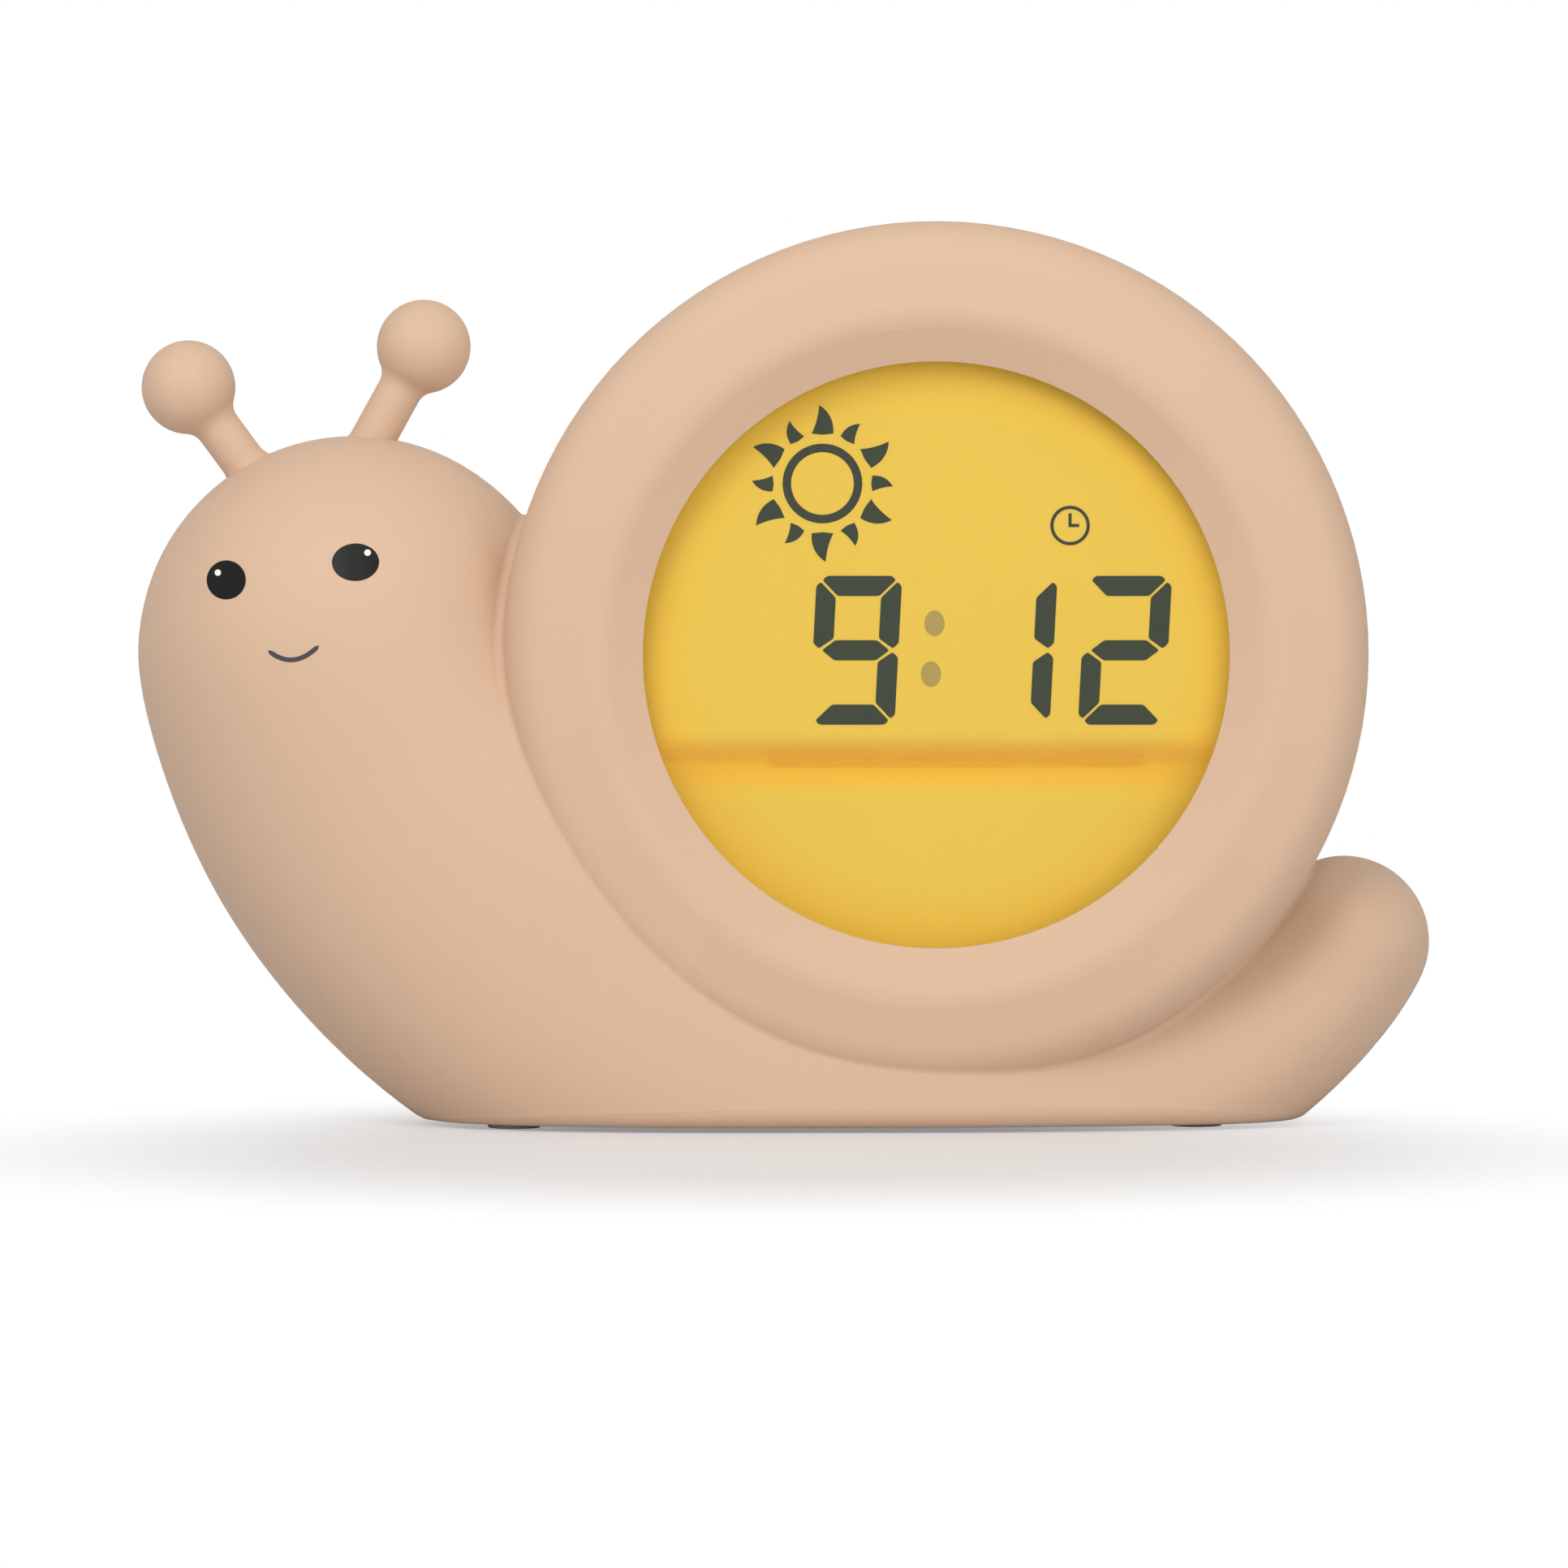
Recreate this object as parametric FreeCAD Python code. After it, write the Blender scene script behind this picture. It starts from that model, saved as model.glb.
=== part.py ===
import FreeCAD, Part
import math
import os
from FreeCAD import Vector

# Snail alarm clock with night light, in millimetres, +Z up, its face towards -Y.
# The origin is the middle of the footprint, on the table.

# Overall size
half_length = 82.65
half_depth = 27.4
foot_gap = 0.6

# Round drum of the shell
drum_x = 19.2
drum_z = 60.4
drum_radius = 54.7
window_radius = 37.0
ridge_radius = 43.4
ridge_round = 5.0
band_slope = 12.0
funnel_slope = 26.0
shoulder_round = 6.5
ring_length = 12.4
dome_round = 10.0

# Head, chest and tail of the body
head_radius = 27.65
head_x = head_radius - half_length
head_z = 60.2
head_depth = 26.4
chest_radius = 87.3
neck_angle = 11.6
tail_radius = 10.9
tail_depth = 13.5
tail_x = half_length - tail_radius
tail_z = 23.2
tail_arc = 64.5
tail_angle = 148.9

# Mouldings
wall = 2.2
base_round = 2.6
crease_round = 0.8
clearance = 0.2
dome_gap = 0.15
lip_width = 1.7
lip_length = 3.2
melt = 0.3

# Antennae: ball centres and root points in the middle plane
ball_radius = 6.0
stem_radius = 2.85
stem_flare = 2.4
root_flare = 3.2
plug_radius = 2.3
plug_start = 5.0
plug_length = 7.0
left_ball = (-76.2, 94.1)
left_root = (-67.6, 82.4)
right_ball = (-46.1, 99.3)
right_root = (-54.3, 84.45)

# Display stack, from the window back to the board
window_front = -23.6
window_thick = 1.5
window_lap = 2.6
gasket_thick = 0.4
gasket_width = 2.2
glass_thick = 2.4
glass_half_width = 37.6
glass_bottom = 45.8
glass_top = 98.2
glass_chamfer = 13.5
diffuser_thick = 1.2
light_box_depth = 6.5
holder_radius = 46.8
holder_wall = 1.0
strip_width = 52.0
strip_height = 2.8
strip_inset = 0.4
strip_shelf = 1.6
ear_circle = 47.4
ear_radius = 2.9
ear_thick = 2.0
ear_length = 5.2
ear_angles = (45.0, 135.0, 225.0, 315.0)

# Circuit boards and their parts
board_thick = 1.6
board_radius = 44.0
board_screw_circle = 42.6
board_screw_angles = (20.0, 160.0, 200.0, 340.0)
display_led_size = (3.5, 0.9, 2.8)
display_led_circle = 24.0
display_led_count = 6
chip_size = (12.0, 1.4, 12.0)
chip_place = (-10.0, 20.0)
crystal_radius = 1.4
crystal_length = 8.0
crystal_place = (4.0, 22.0)
socket_size = (8.0, 5.0, 4.0)
power_plug_place = (20.0, -16.0)
speaker_plug_place = (-32.0, 8.0)
key_plug_place = (-28.0, -20.0)
light_plug_place = (0.0, 30.0)
light_board_radius = 21.0
light_board_front = 4.0
light_led_size = (5.0, 1.6, 5.0)
light_led_circle = 11.0
light_led_count = 8
led_start_angle = 15.0
spacer_radius = 2.6
spacer_circle = 17.5
spacer_angles = (30.0, 150.0, 270.0)

# Control panel on the back of the chest, turned to follow the shell
panel_circle = 70.0
panel_angle = 207.0
panel_half_wide = 11.0
panel_half_long = 17.0
panel_corner = 4.0
panel_face = 21.6
panel_wall = 2.0
tub_wall = 1.8
button_radius = 3.5
button_flange = 0.7
button_flange_thick = 0.4
button_rise = 1.2
button_round = 0.5
button_travel = 0.5
button_free = 0.1
upper_row = -5.0
lower_row = 5.0
button_pitch = 9.0
first_button = 12.0
key_board_half_wide = 10.5
key_board_half_long = 18.5
tact_size = 6.0
tact_body = 2.6
tact_stem = 0.9
tact_stem_radius = 1.6
slider_place = -8.0
slider_travel = 1.5
knob_size = 3.0
knob_rise = 1.6
knob_plate_long = 8.0
knob_plate_wide = 5.0
knob_plate_thick = 0.8
slide_body_long = 9.0
slide_body_wide = 4.5
slide_body_tall = 3.4
inlet_place = (-14.0, -4.6)
inlet_long = 9.0
inlet_wide = 3.3
inlet_shell = 0.35
inlet_depth = 5.5
inlet_tongue_set_back = 0.6
post_radius = 1.5
post_places = ((16.6, 0.0), (-1.5, 0.0), (-16.6, 5.5))

# Speaker behind the head
speaker_radius = 12.0
speaker_rim = 2.0
speaker_face = 19.0
speaker_frame = 4.4
magnet_radius = 6.5
magnet_depth = 3.6
cone_depth = 2.6
grille_hole = 0.9
grille_pitch = 3.4
grille_rings = 2

# Base plate with the battery bay, and its door
plate_left = -30.0
plate_right = 45.0
plate_half_wide = 19.8
plate_corner = 7.0
flange_wide = 3.0
flange_lap = 1.4
flange_thick = 2.0
cell_radius = 5.25
cell_length = 44.5
cell_pitch = 11.2
cell_count = 3
nub_radius = 1.9
nub_length = 0.9
spring_length = 7.7
spring_radius = 3.4
spring_wire = 0.6
contact_thick = 0.4
contact_half = 4.4
bay_wall = 1.3
bay_left = -20.0
bay_room = 0.45
door_thick = 1.6
door_lap = 1.5
tongue_half_wide = 4.0
tongue_length = 6.6
grip_count = 4
grip_pitch = 2.4
grip_inset = 3.0
grip_wide = 1.0
grip_half_long = 8.0
grip_depth = 0.5
door_screw_sink = 0.8

# Fasteners
screw_radius = 1.2
head_of_screw = 2.3
head_height = 1.6
pilot_radius = 1.0
boss_radius = 3.6
casing_screw_seat = 8.0
casing_screw_length = 17.0
casing_screws = ((-70.0, 47.0), (-41.5, 71.0), (-34.5, 7.5), (66.0, 20.0))
plate_screws = ((-25.5, 12.0), (-25.5, -12.0), (40.5, 11.0), (40.5, -11.0))
plate_boss_radius = 2.8
plate_boss_height = 6.2
plate_screw_length = 5.5
board_screw_length = 4.6

# Rubber feet
pad_radius = 3.4
pad_thick = 1.7
pad_places = ((-34.3, 12.0), (-34.3, -12.0), (52.5, 8.0), (52.5, -8.0))

# Wires
wire_radius = 0.6
wire_gap = 0.3

# Places worked out from the sizes above
ring_back = ring_length - half_depth
inner_radius = drum_radius - wall
window_back = window_front + window_thick
gasket_back = window_back + gasket_thick
glass_back = gasket_back + glass_thick
diffuser_back = glass_back + diffuser_thick
board_front = diffuser_back + light_box_depth
board_back = board_front + board_thick
plate_top = foot_gap + wall
cell_axis = foot_gap + door_thick + bay_room + cell_radius
bay_inner_left = bay_left + bay_wall
bay_inner_right = bay_inner_left + 2 * contact_thick + spring_length + cell_length
bay_right = bay_inner_right + bay_wall
bay_inner_half = (cell_count - 1) * cell_pitch / 2 + cell_radius + bay_room
bay_half = bay_inner_half + bay_wall
bay_inner_top = cell_axis + cell_radius + bay_room
bay_top = bay_inner_top + bay_wall
panel_back = panel_face - panel_wall
big = 400.0
outline_points = 24
cap_angles = (84, 70, 54, 36, 18)


def flat_direction(angle):
    # unit vector in the upright middle plane, as an x and z pair
    turned = math.radians(angle)
    return (math.cos(turned), math.sin(turned))


def cross_outline(centre, inward, half_wide, half_deep, power):
    # closed superellipse round a centre, wide along inward and deep along Y
    points = []
    for step in range(outline_points):
        turn = 2 * math.pi * step / outline_points
        c = math.cos(turn)
        s = math.sin(turn)
        reach = (abs(c) ** power + abs(s) ** power) ** (-1.0 / power)
        along = half_wide * reach * c
        points.append(Vector(centre[0] + along * inward[0], half_deep * reach * s,
                             centre[1] + along * inward[1]))
    return points


def body_outlines(inset):
    # outlines from the crown of the head, down the chest, along the foot and up the tail
    neck = flat_direction(neck_angle)
    crown = (-neck[1], neck[0])
    chest_centre = (head_x + (chest_radius - head_radius) * neck[0],
                    head_z + (chest_radius - head_radius) * neck[1])
    rump = flat_direction(tail_angle)
    tip = (rump[1], -rump[0])
    tail_centre = (tail_x + (tail_arc - tail_radius) * rump[0],
                   tail_z + (tail_arc - tail_radius) * rump[1])
    rows = []
    reach = head_radius - inset
    depth = head_depth - inset
    rows.append([Vector(head_x + reach * crown[0], 0, head_z + reach * crown[1])] * outline_points)
    for angle in cap_angles:
        up = reach * math.sin(math.radians(angle))
        across = math.cos(math.radians(angle))
        centre = (head_x + up * crown[0], head_z + up * crown[1])
        rows.append(cross_outline(centre, neck, reach * across, depth * across, 2))
    chest = ((neck_angle, head_radius, head_depth, 2), (24, 28.5, 26.2, 2.05),
             (38, 29.5, 26.0, 2.2), (52, 29.8, 25.8, 2.4), (66, 27.5, 25.6, 2.6),
             (78, 23.5, 25.4, 2.7), (90, 20.5, 25.0, 2.8))
    for angle, half_wide, half_deep, power in chest:
        inward = flat_direction(angle)
        back = chest_radius - half_wide
        centre = (chest_centre[0] - back * inward[0], chest_centre[1] - back * inward[1])
        rows.append(cross_outline(centre, inward, half_wide - inset, half_deep - inset, power))
    rump_rows = ((90, 18.2, 24.2, 2.8), (104, 16.8, 22.4, 2.7), (120, 15, 19.6, 2.5),
                 (135, 13, 16.5, 2.2), (tail_angle, tail_radius, tail_depth, 2))
    for angle, half_wide, half_deep, power in rump_rows:
        inward = flat_direction(angle)
        back = tail_arc - half_wide
        centre = (tail_centre[0] - back * inward[0], tail_centre[1] - back * inward[1])
        rows.append(cross_outline(centre, inward, half_wide - inset, half_deep - inset, power))
    reach = tail_radius - inset
    depth = tail_depth - inset
    for angle in reversed(cap_angles):
        up = reach * math.sin(math.radians(angle))
        across = math.cos(math.radians(angle))
        centre = (tail_x + up * tip[0], tail_z + up * tip[1])
        rows.append(cross_outline(centre, rump, reach * across, depth * across, 2))
    rows.append([Vector(tail_x + reach * tip[0], 0, tail_z + reach * tip[1])] * outline_points)
    return rows


def smooth_skin(rows):
    # one smooth closed surface through the outlines, whose first and last rows are points
    turns = [step / float(outline_points) for step in range(outline_points + 1)]
    pole_rows = []
    for points in rows:
        if (points[0] - points[1]).Length < 1e-9:
            pole_rows.append(None)
            continue
        loop = Part.BSplineCurve()
        loop.interpolate(Points=points, PeriodicFlag=True, Parameters=turns)
        pole_rows.append(loop.getPoles())
        loop_knots = loop.getKnots()
        loop_mults = loop.getMultiplicities()
    count = max(len(poles) for poles in pole_rows if poles)
    pole_rows = [poles if poles else [rows[i][0]] * count for i, poles in enumerate(pole_rows)]
    lengths = [0.0]
    for i in range(1, len(rows)):
        step = sum((rows[i][k] - rows[i - 1][k]).Length for k in range(outline_points))
        lengths.append(lengths[-1] + step / outline_points)
    stations = [value / lengths[-1] for value in lengths]
    columns = []
    for k in range(count):
        line = Part.BSplineCurve()
        line.interpolate(Points=[row[k] for row in pole_rows], Parameters=stations)
        columns.append(line.getPoles())
    poles = [[column[i] for column in columns] for i in range(len(columns[0]))]
    surface = Part.BSplineSurface()
    surface.buildFromPolesMultsKnots(poles, line.getMultiplicities(), loop_mults,
                                     line.getKnots(), loop_knots, False, True,
                                     line.Degree, loop.Degree)
    solid = Part.Solid(Part.Shell([surface.toShape()]))
    if solid.Volume < 0:
        solid.reverse()
    return solid


def revolved(edges):
    # solid turned round the drum's axis from edges given in radius and depth
    return Part.Face(Part.Wire(edges)).revolve(Vector(drum_x, 0, drum_z), Vector(0, 1, 0), 360)


def profile_point(radius, y):
    return Vector(drum_x + radius, y, drum_z)


def profile_line(start, end):
    return Part.makeLine(profile_point(*start), profile_point(*end))


def profile_arc(centre, radius, start_angle, end_angle):
    # arc of the turned profile, with angles from +radius towards +Y
    points = []
    for angle in (start_angle, (start_angle + end_angle) / 2, end_angle):
        c, s = flat_direction(angle)
        points.append(profile_point(centre[0] + radius * c, centre[1] + radius * s))
    return Part.Arc(*points).toShape()


def ring_profile():
    # points of the front ring: funnel rim, ridge ends, shoulder ends and arc centres
    slope = flat_direction(band_slope)
    funnel = flat_direction(funnel_slope)
    ridge = (ridge_radius, ridge_round - half_depth)
    band_in = (ridge[0] + ridge_round * slope[1], ridge[1] - ridge_round * slope[0])
    funnel_out = (ridge[0] - ridge_round * funnel[1], ridge[1] - ridge_round * funnel[0])
    rim_depth = funnel_out[1] + (funnel_out[0] - window_radius) * math.tan(math.radians(funnel_slope))
    shoulder_x = drum_radius - shoulder_round
    band_out_x = shoulder_x + shoulder_round * slope[1]
    band_out_y = band_in[1] + (band_out_x - band_in[0]) * math.tan(math.radians(band_slope))
    shoulder = (shoulder_x, band_out_y + shoulder_round * slope[0])
    return ridge, band_in, funnel_out, rim_depth, (band_out_x, band_out_y), shoulder


def drum_outside():
    # the whole drum: ring in front, straight side, rounded dome behind
    ridge, band_in, funnel_out, rim_depth, band_out, shoulder = ring_profile()
    rim = (window_radius, rim_depth)
    dome_flat = drum_radius - dome_round
    dome_start = half_depth - dome_round
    edges = [
        profile_line((0, rim_depth), rim),
        profile_line(rim, funnel_out),
        profile_arc(ridge, ridge_round, -90 - funnel_slope, -90 + band_slope),
        profile_line(band_in, band_out),
        profile_arc(shoulder, shoulder_round, -90 + band_slope, 0),
        profile_line((drum_radius, shoulder[1]), (drum_radius, dome_start)),
        profile_arc((dome_flat, dome_start), dome_round, 0, 90),
        profile_line((dome_flat, half_depth), (0, half_depth)),
        profile_line((0, half_depth), (0, rim_depth)),
    ]
    return revolved(edges)


def drum_inside():
    # the hollow of the drum, one wall in from the outside
    ridge, band_in, funnel_out, rim_depth, band_out, shoulder = ring_profile()
    seat = window_radius + window_lap + clearance
    inner_round = shoulder_round - wall
    slope = flat_direction(band_slope)
    shoulder_in = (shoulder[0] + inner_round * slope[1], shoulder[1] - inner_round * slope[0])
    under_ridge = (ridge_radius, band_in[1] + wall / slope[0])
    dome_flat = drum_radius - dome_round
    dome_start = half_depth - dome_round
    edges = [
        profile_line((0, window_front), (seat, window_front)),
        profile_line((seat, window_front), under_ridge),
        profile_line(under_ridge, shoulder_in),
        profile_arc(shoulder, inner_round, -90 + band_slope, 0),
        profile_line((inner_radius, shoulder[1]), (inner_radius, dome_start)),
        profile_arc((dome_flat, dome_start), dome_round - wall, 0, 90),
        profile_line((dome_flat, half_depth - wall), (0, half_depth - wall)),
        profile_line((0, half_depth - wall), (0, window_front)),
    ]
    return revolved(edges)


def slab(y_from, y_to):
    return Part.makeBox(2 * big, y_to - y_from, 2 * big, Vector(-big, y_from, -big))


def above(z):
    return Part.makeBox(2 * big, 2 * big, big, Vector(-big, -big, z))


def disc(x, z, radius, y_from, y_to):
    return Part.makeCylinder(radius, y_to - y_from, Vector(x, y_from, z), Vector(0, 1, 0))


def tube(x, z, outer, inner, y_from, y_to):
    return disc(x, z, outer, y_from, y_to).cut(disc(x, z, inner, y_from - 1, y_to + 1))


def post(x, y, radius, z_from, z_to):
    return Part.makeCylinder(radius, z_to - z_from, Vector(x, y, z_from))


def block(x_from, x_to, y_from, y_to, z_from, z_to):
    return Part.makeBox(x_to - x_from, y_to - y_from, z_to - z_from, Vector(x_from, y_from, z_from))


def on_drum(circle, angle):
    # x and z of a point on a circle round the drum's axis
    c, s = flat_direction(angle)
    return (drum_x + circle * c, drum_z + circle * s)


def joined(shapes):
    first = shapes[0]
    return first.fuse(shapes[1:]) if len(shapes) > 1 else first


def group(shapes):
    return Part.makeCompound(shapes)


def on_panel(shape):
    # from panel sizes, where x runs up the panel and z outwards, to its place on the chest
    outward = flat_direction(panel_angle)
    centre = on_drum(panel_circle, panel_angle)
    placed = shape.copy()
    turn = math.degrees(math.atan2(outward[0], outward[1]))
    placed.rotate(Vector(0, 0, 0), Vector(0, 1, 0), turn)
    placed.translate(Vector(centre[0], 0, centre[1]))
    return placed


def rounded_block(half_long, half_wide, corner, y_from, y_to):
    shape = block(-half_long, half_long, y_from, y_to, -half_wide, half_wide)
    upright = [edge for edge in shape.Edges if edge.BoundBox.YLength > (y_to - y_from) / 2]
    return shape.makeFillet(corner, upright)


def edges_at(shape, test):
    found = []
    for edge in shape.Edges:
        if not edge.Degenerated and test(edge):
            found.append(edge)
    return found


# The body and the drum as whole forms, before they are split into mouldings
body_form = smooth_skin(body_outlines(0)).common(above(foot_gap))
body_grown = smooth_skin(body_outlines(-dome_gap))
body_core = smooth_skin(body_outlines(wall / 2)).common(above(foot_gap + wall / 2))
body_hollow = smooth_skin(body_outlines(wall)).common(above(plate_top))
drum_form = drum_outside()
drum_hollow = drum_inside()
free_drum = drum_form.common(slab(ring_back, big)).cut(body_form)


def with_round_base(shape):
    base = edges_at(shape, lambda edge: edge.BoundBox.ZMax < foot_gap + 0.01
                    and edge.BoundBox.YLength > 1)
    return shape.makeFillet(base_round, base)


def with_soft_crease(shape):
    # the valley where the body meets the drum
    crease = []
    for edge in edges_at(shape, lambda edge: edge.Curve.TypeId == "Part::GeomBSplineCurve"):
        kinds = set(face.Surface.TypeId for face in shape.ancestorsOfType(edge, Part.Face))
        if len(kinds) == 2 and "Part::GeomPlane" not in kinds:
            crease.append(edge)
    return shape.makeFillet(crease_round, crease)


def antenna_profile(ball, root):
    # solid of one antenna before it is trimmed on the head: ball, stem, flared root and plug
    reach = Vector(ball[0] - root[0], 0, ball[1] - root[1])
    length = reach.Length
    drop = math.acos((stem_radius + stem_flare) / (ball_radius + stem_flare))
    ball_join = length - (ball_radius + stem_flare) * math.sin(drop)
    touch = (ball_radius * math.cos(drop), length - ball_radius * math.sin(drop))
    half = math.radians(45)
    flare_mid = (stem_radius + stem_flare * (1 - math.cos(drop / 2)),
                 ball_join + stem_flare * math.sin(drop / 2))
    root_mid = (stem_radius + root_flare * (1 - math.cos(half)),
                root_flare * (1 - math.sin(half)))
    wide = (ball_radius * math.cos(half / 2), length + ball_radius * math.sin(half / 2))

    def at(pair):
        return Vector(pair[0], 0, pair[1])
    below = (stem_radius + root_flare, -plug_length)
    edges = [
        Part.makeLine(at((0, -plug_length)), at(below)),
        Part.makeLine(at(below), at((stem_radius + root_flare, 0))),
        Part.Arc(at((stem_radius + root_flare, 0)), at(root_mid),
                 at((stem_radius, root_flare))).toShape(),
        Part.makeLine(at((stem_radius, root_flare)), at((stem_radius, ball_join))),
        Part.Arc(at((stem_radius, ball_join)), at(flare_mid), at(touch)).toShape(),
        Part.Arc(at(touch), at(wide), at((0, length + ball_radius))).toShape(),
        Part.makeLine(at((0, length + ball_radius)), at((0, -plug_length))),
    ]
    solid = Part.Face(Part.Wire(edges)).revolve(Vector(0, 0, 0), Vector(0, 0, 1), 360)
    lean = math.degrees(math.atan2(reach.x, reach.z))
    solid.rotate(Vector(0, 0, 0), Vector(0, 1, 0), lean)
    solid.translate(Vector(root[0], 0, root[1]))
    return solid


def antenna_plug(ball, root, radius, start):
    reach = Vector(root[0] - ball[0], 0, root[1] - ball[1])
    reach.normalize()
    from_point = Vector(root[0], 0, root[1]) - reach * start
    return Part.makeCylinder(radius, start + plug_length, from_point, reach)


def antenna(ball, root):
    outside = antenna_profile(ball, root).cut(body_form)
    return outside.fuse(antenna_plug(ball, root, plug_radius, plug_start)).removeSplitter()


def antenna_sockets():
    sockets = []
    for ball, root in ((left_ball, left_root), (right_ball, right_root)):
        sockets.append(antenna_plug(ball, root, plug_radius + clearance / 2, plug_start))
    return sockets


def plate_block(grow, z_from, z_to):
    shape = block(plate_left - grow, plate_right + grow, -plate_half_wide - grow,
                  plate_half_wide + grow, z_from, z_to)
    upright = edges_at(shape, lambda edge: edge.BoundBox.ZLength > (z_to - z_from) / 2)
    return shape.makeFillet(plate_corner + grow, upright)


def plate_seat():
    # inward flange and screw bosses that hold the base plate
    flange = plate_block(flange_wide, plate_top, plate_top + flange_thick)
    flange = flange.cut(plate_block(-flange_lap, plate_top - 1, plate_top + flange_thick + 1))
    pieces = [flange]
    for x, y in plate_screws:
        side = plate_left - flange_wide if x < 0 else plate_right + flange_wide
        pieces.append(block(min(x, side), max(x, side), y - plate_boss_radius,
                            y + plate_boss_radius, plate_top, plate_top + flange_thick))
        pieces.append(post(x, y, plate_boss_radius, plate_top, plate_top + plate_boss_height))
    seat = joined(pieces).common(body_core)
    for x, y in plate_screws:
        seat = seat.cut(post(x, y, pilot_radius, 0, plate_top + plate_boss_height + 1))
    return seat


def base_cuts():
    # the opening for the base plate and the seats of the rubber feet
    cuts = [plate_block(clearance, -1, plate_top)]
    for x, y in pad_places:
        cuts.append(post(x, y, pad_radius + clearance / 2, -1, pad_thick))
    return cuts


def front_casing():
    shape = body_form.fuse(drum_form).common(slab(-big, 0)).removeSplitter()
    shape = with_round_base(with_soft_crease(shape))
    shape = shape.cut(free_drum).cut(drum_hollow).cut(body_hollow)
    shape = shape.cut(disc(drum_x, drum_z, window_radius, -big, 0))
    lip = tube(drum_x, drum_z, inner_radius - clearance, inner_radius - clearance - lip_width,
               ring_back - lip_length, ring_back + lip_length)
    shape = shape.fuse(lip.cut(body_grown))
    bridge = tube(drum_x, drum_z, inner_radius + melt, inner_radius - clearance - lip_width,
                  ring_back - lip_length, ring_back)
    shape = shape.fuse(bridge.cut(body_grown))
    bosses = []
    for angle in ear_angles:
        x, z = on_drum(ear_circle, angle)
        boss = disc(x, z, ear_radius - melt, window_front - 1, glass_back + ear_length - ear_thick)
        bosses.append(boss)
    for x, z in casing_screws:
        bosses.append(disc(x, z, boss_radius, -half_depth, 0).common(body_core))
    shape = shape.fuse(bosses)
    shape = shape.fuse(plate_seat().common(slab(-big, 0)))
    holes = base_cuts() + antenna_sockets()
    for angle in ear_angles:
        x, z = on_drum(ear_circle, angle)
        holes.append(disc(x, z, pilot_radius, window_front + 1, 0))
    for x, z in casing_screws:
        holes.append(disc(x, z, pilot_radius, casing_screw_seat - casing_screw_length - 1, 1))
    return shape.cut(holes)


def button_places():
    # along and outward places of the five buttons on the panel
    return (
        ("button_clock", first_button, upper_row),
        ("button_alarm", first_button - button_pitch, upper_row),
        ("button_light", first_button - 2 * button_pitch, upper_row),
        ("button_minus", first_button, lower_row),
        ("button_plus", first_button - button_pitch, lower_row),
    )


def grille_holes():
    holes = []
    for row in range(-grille_rings, grille_rings + 1):
        for column in range(-grille_rings, grille_rings + 1):
            if abs(row + column) > grille_rings:
                continue
            x = head_x + grille_pitch * (column + row / 2.0)
            z = head_z + grille_pitch * row * math.sin(math.radians(60))
            holes.append(disc(x, z, grille_hole, speaker_face, half_depth + 1))
    return holes


def rear_casing():
    front = with_round_base(body_form.common(slab(-big, 0)))
    shape = front.mirror(Vector(0, 0, 0), Vector(0, 1, 0))
    shape = shape.cut(drum_hollow).cut(body_hollow)
    tub = on_panel(rounded_block(panel_half_long + tub_wall, panel_half_wide + tub_wall,
                                 panel_corner + tub_wall, panel_back, half_depth))
    additions = [tub.common(body_core)]
    speaker_ring = [
        tube(head_x, head_z, speaker_radius + speaker_rim, speaker_radius - speaker_rim,
             speaker_face, half_depth),
        tube(head_x, head_z, speaker_radius + speaker_rim, speaker_radius + clearance,
             speaker_face - speaker_frame, speaker_face),
    ]
    additions.append(joined(speaker_ring).common(body_core))
    for x, z in casing_screws:
        additions.append(disc(x, z, boss_radius, 0, half_depth).common(body_core))
    for along, outward in post_places:
        key_post = disc(along, outward, post_radius, panel_back - tact_gap(), panel_back)
        additions.append(on_panel(key_post))
    shape = shape.fuse(additions)
    shape = shape.fuse(plate_seat().common(slab(0, big)))
    holes = base_cuts() + antenna_sockets() + grille_holes()
    holes.append(on_panel(rounded_block(panel_half_long, panel_half_wide, panel_corner,
                                        panel_face, half_depth + 1)))
    for name, along, outward in button_places():
        holes.append(on_panel(disc(along, outward, button_radius + clearance,
                                   panel_back - 1, panel_face + 1)))
    slot_half = knob_size / 2 + slider_travel + clearance
    holes.append(on_panel(block(slider_place - slot_half, slider_place + slot_half,
                                panel_back - 1, panel_face + 1,
                                lower_row - knob_size / 2 - clearance,
                                lower_row + knob_size / 2 + clearance)))
    holes.append(on_panel(inlet_form(clearance, panel_back - 1, panel_face + 1)))
    for x, z in casing_screws:
        holes.append(disc(x, z, screw_radius + clearance, -1, half_depth))
        holes.append(disc(x, z, head_of_screw + clearance, casing_screw_seat, half_depth + 1))
    for along, outward in post_places:
        holes.append(on_panel(disc(along, outward, pilot_radius, panel_back - tact_gap() - 1,
                                   panel_back)))
    return shape.cut(holes)


def tact_gap():
    # room between the key board and the back of the panel
    return tact_body + tact_stem + button_travel + button_free * 2 + button_flange_thick


def inlet_form(grow, y_from, y_to):
    # long round-ended socket, its long side pointing outwards on the panel
    along, outward = inlet_place
    half_wide = inlet_wide / 2 + grow
    half_long = inlet_long / 2 + grow
    middle = block(along - half_wide, along + half_wide, y_from, y_to,
                   outward - half_long + half_wide, outward + half_long - half_wide)
    ends = []
    for side in (-1, 1):
        ends.append(disc(along, outward + side * (half_long - half_wide), half_wide, y_from, y_to))
    return middle.fuse(ends)


def night_light_dome():
    shape = drum_form.common(slab(ring_back, big)).cut(drum_hollow)
    return shape.cut(body_grown)


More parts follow.
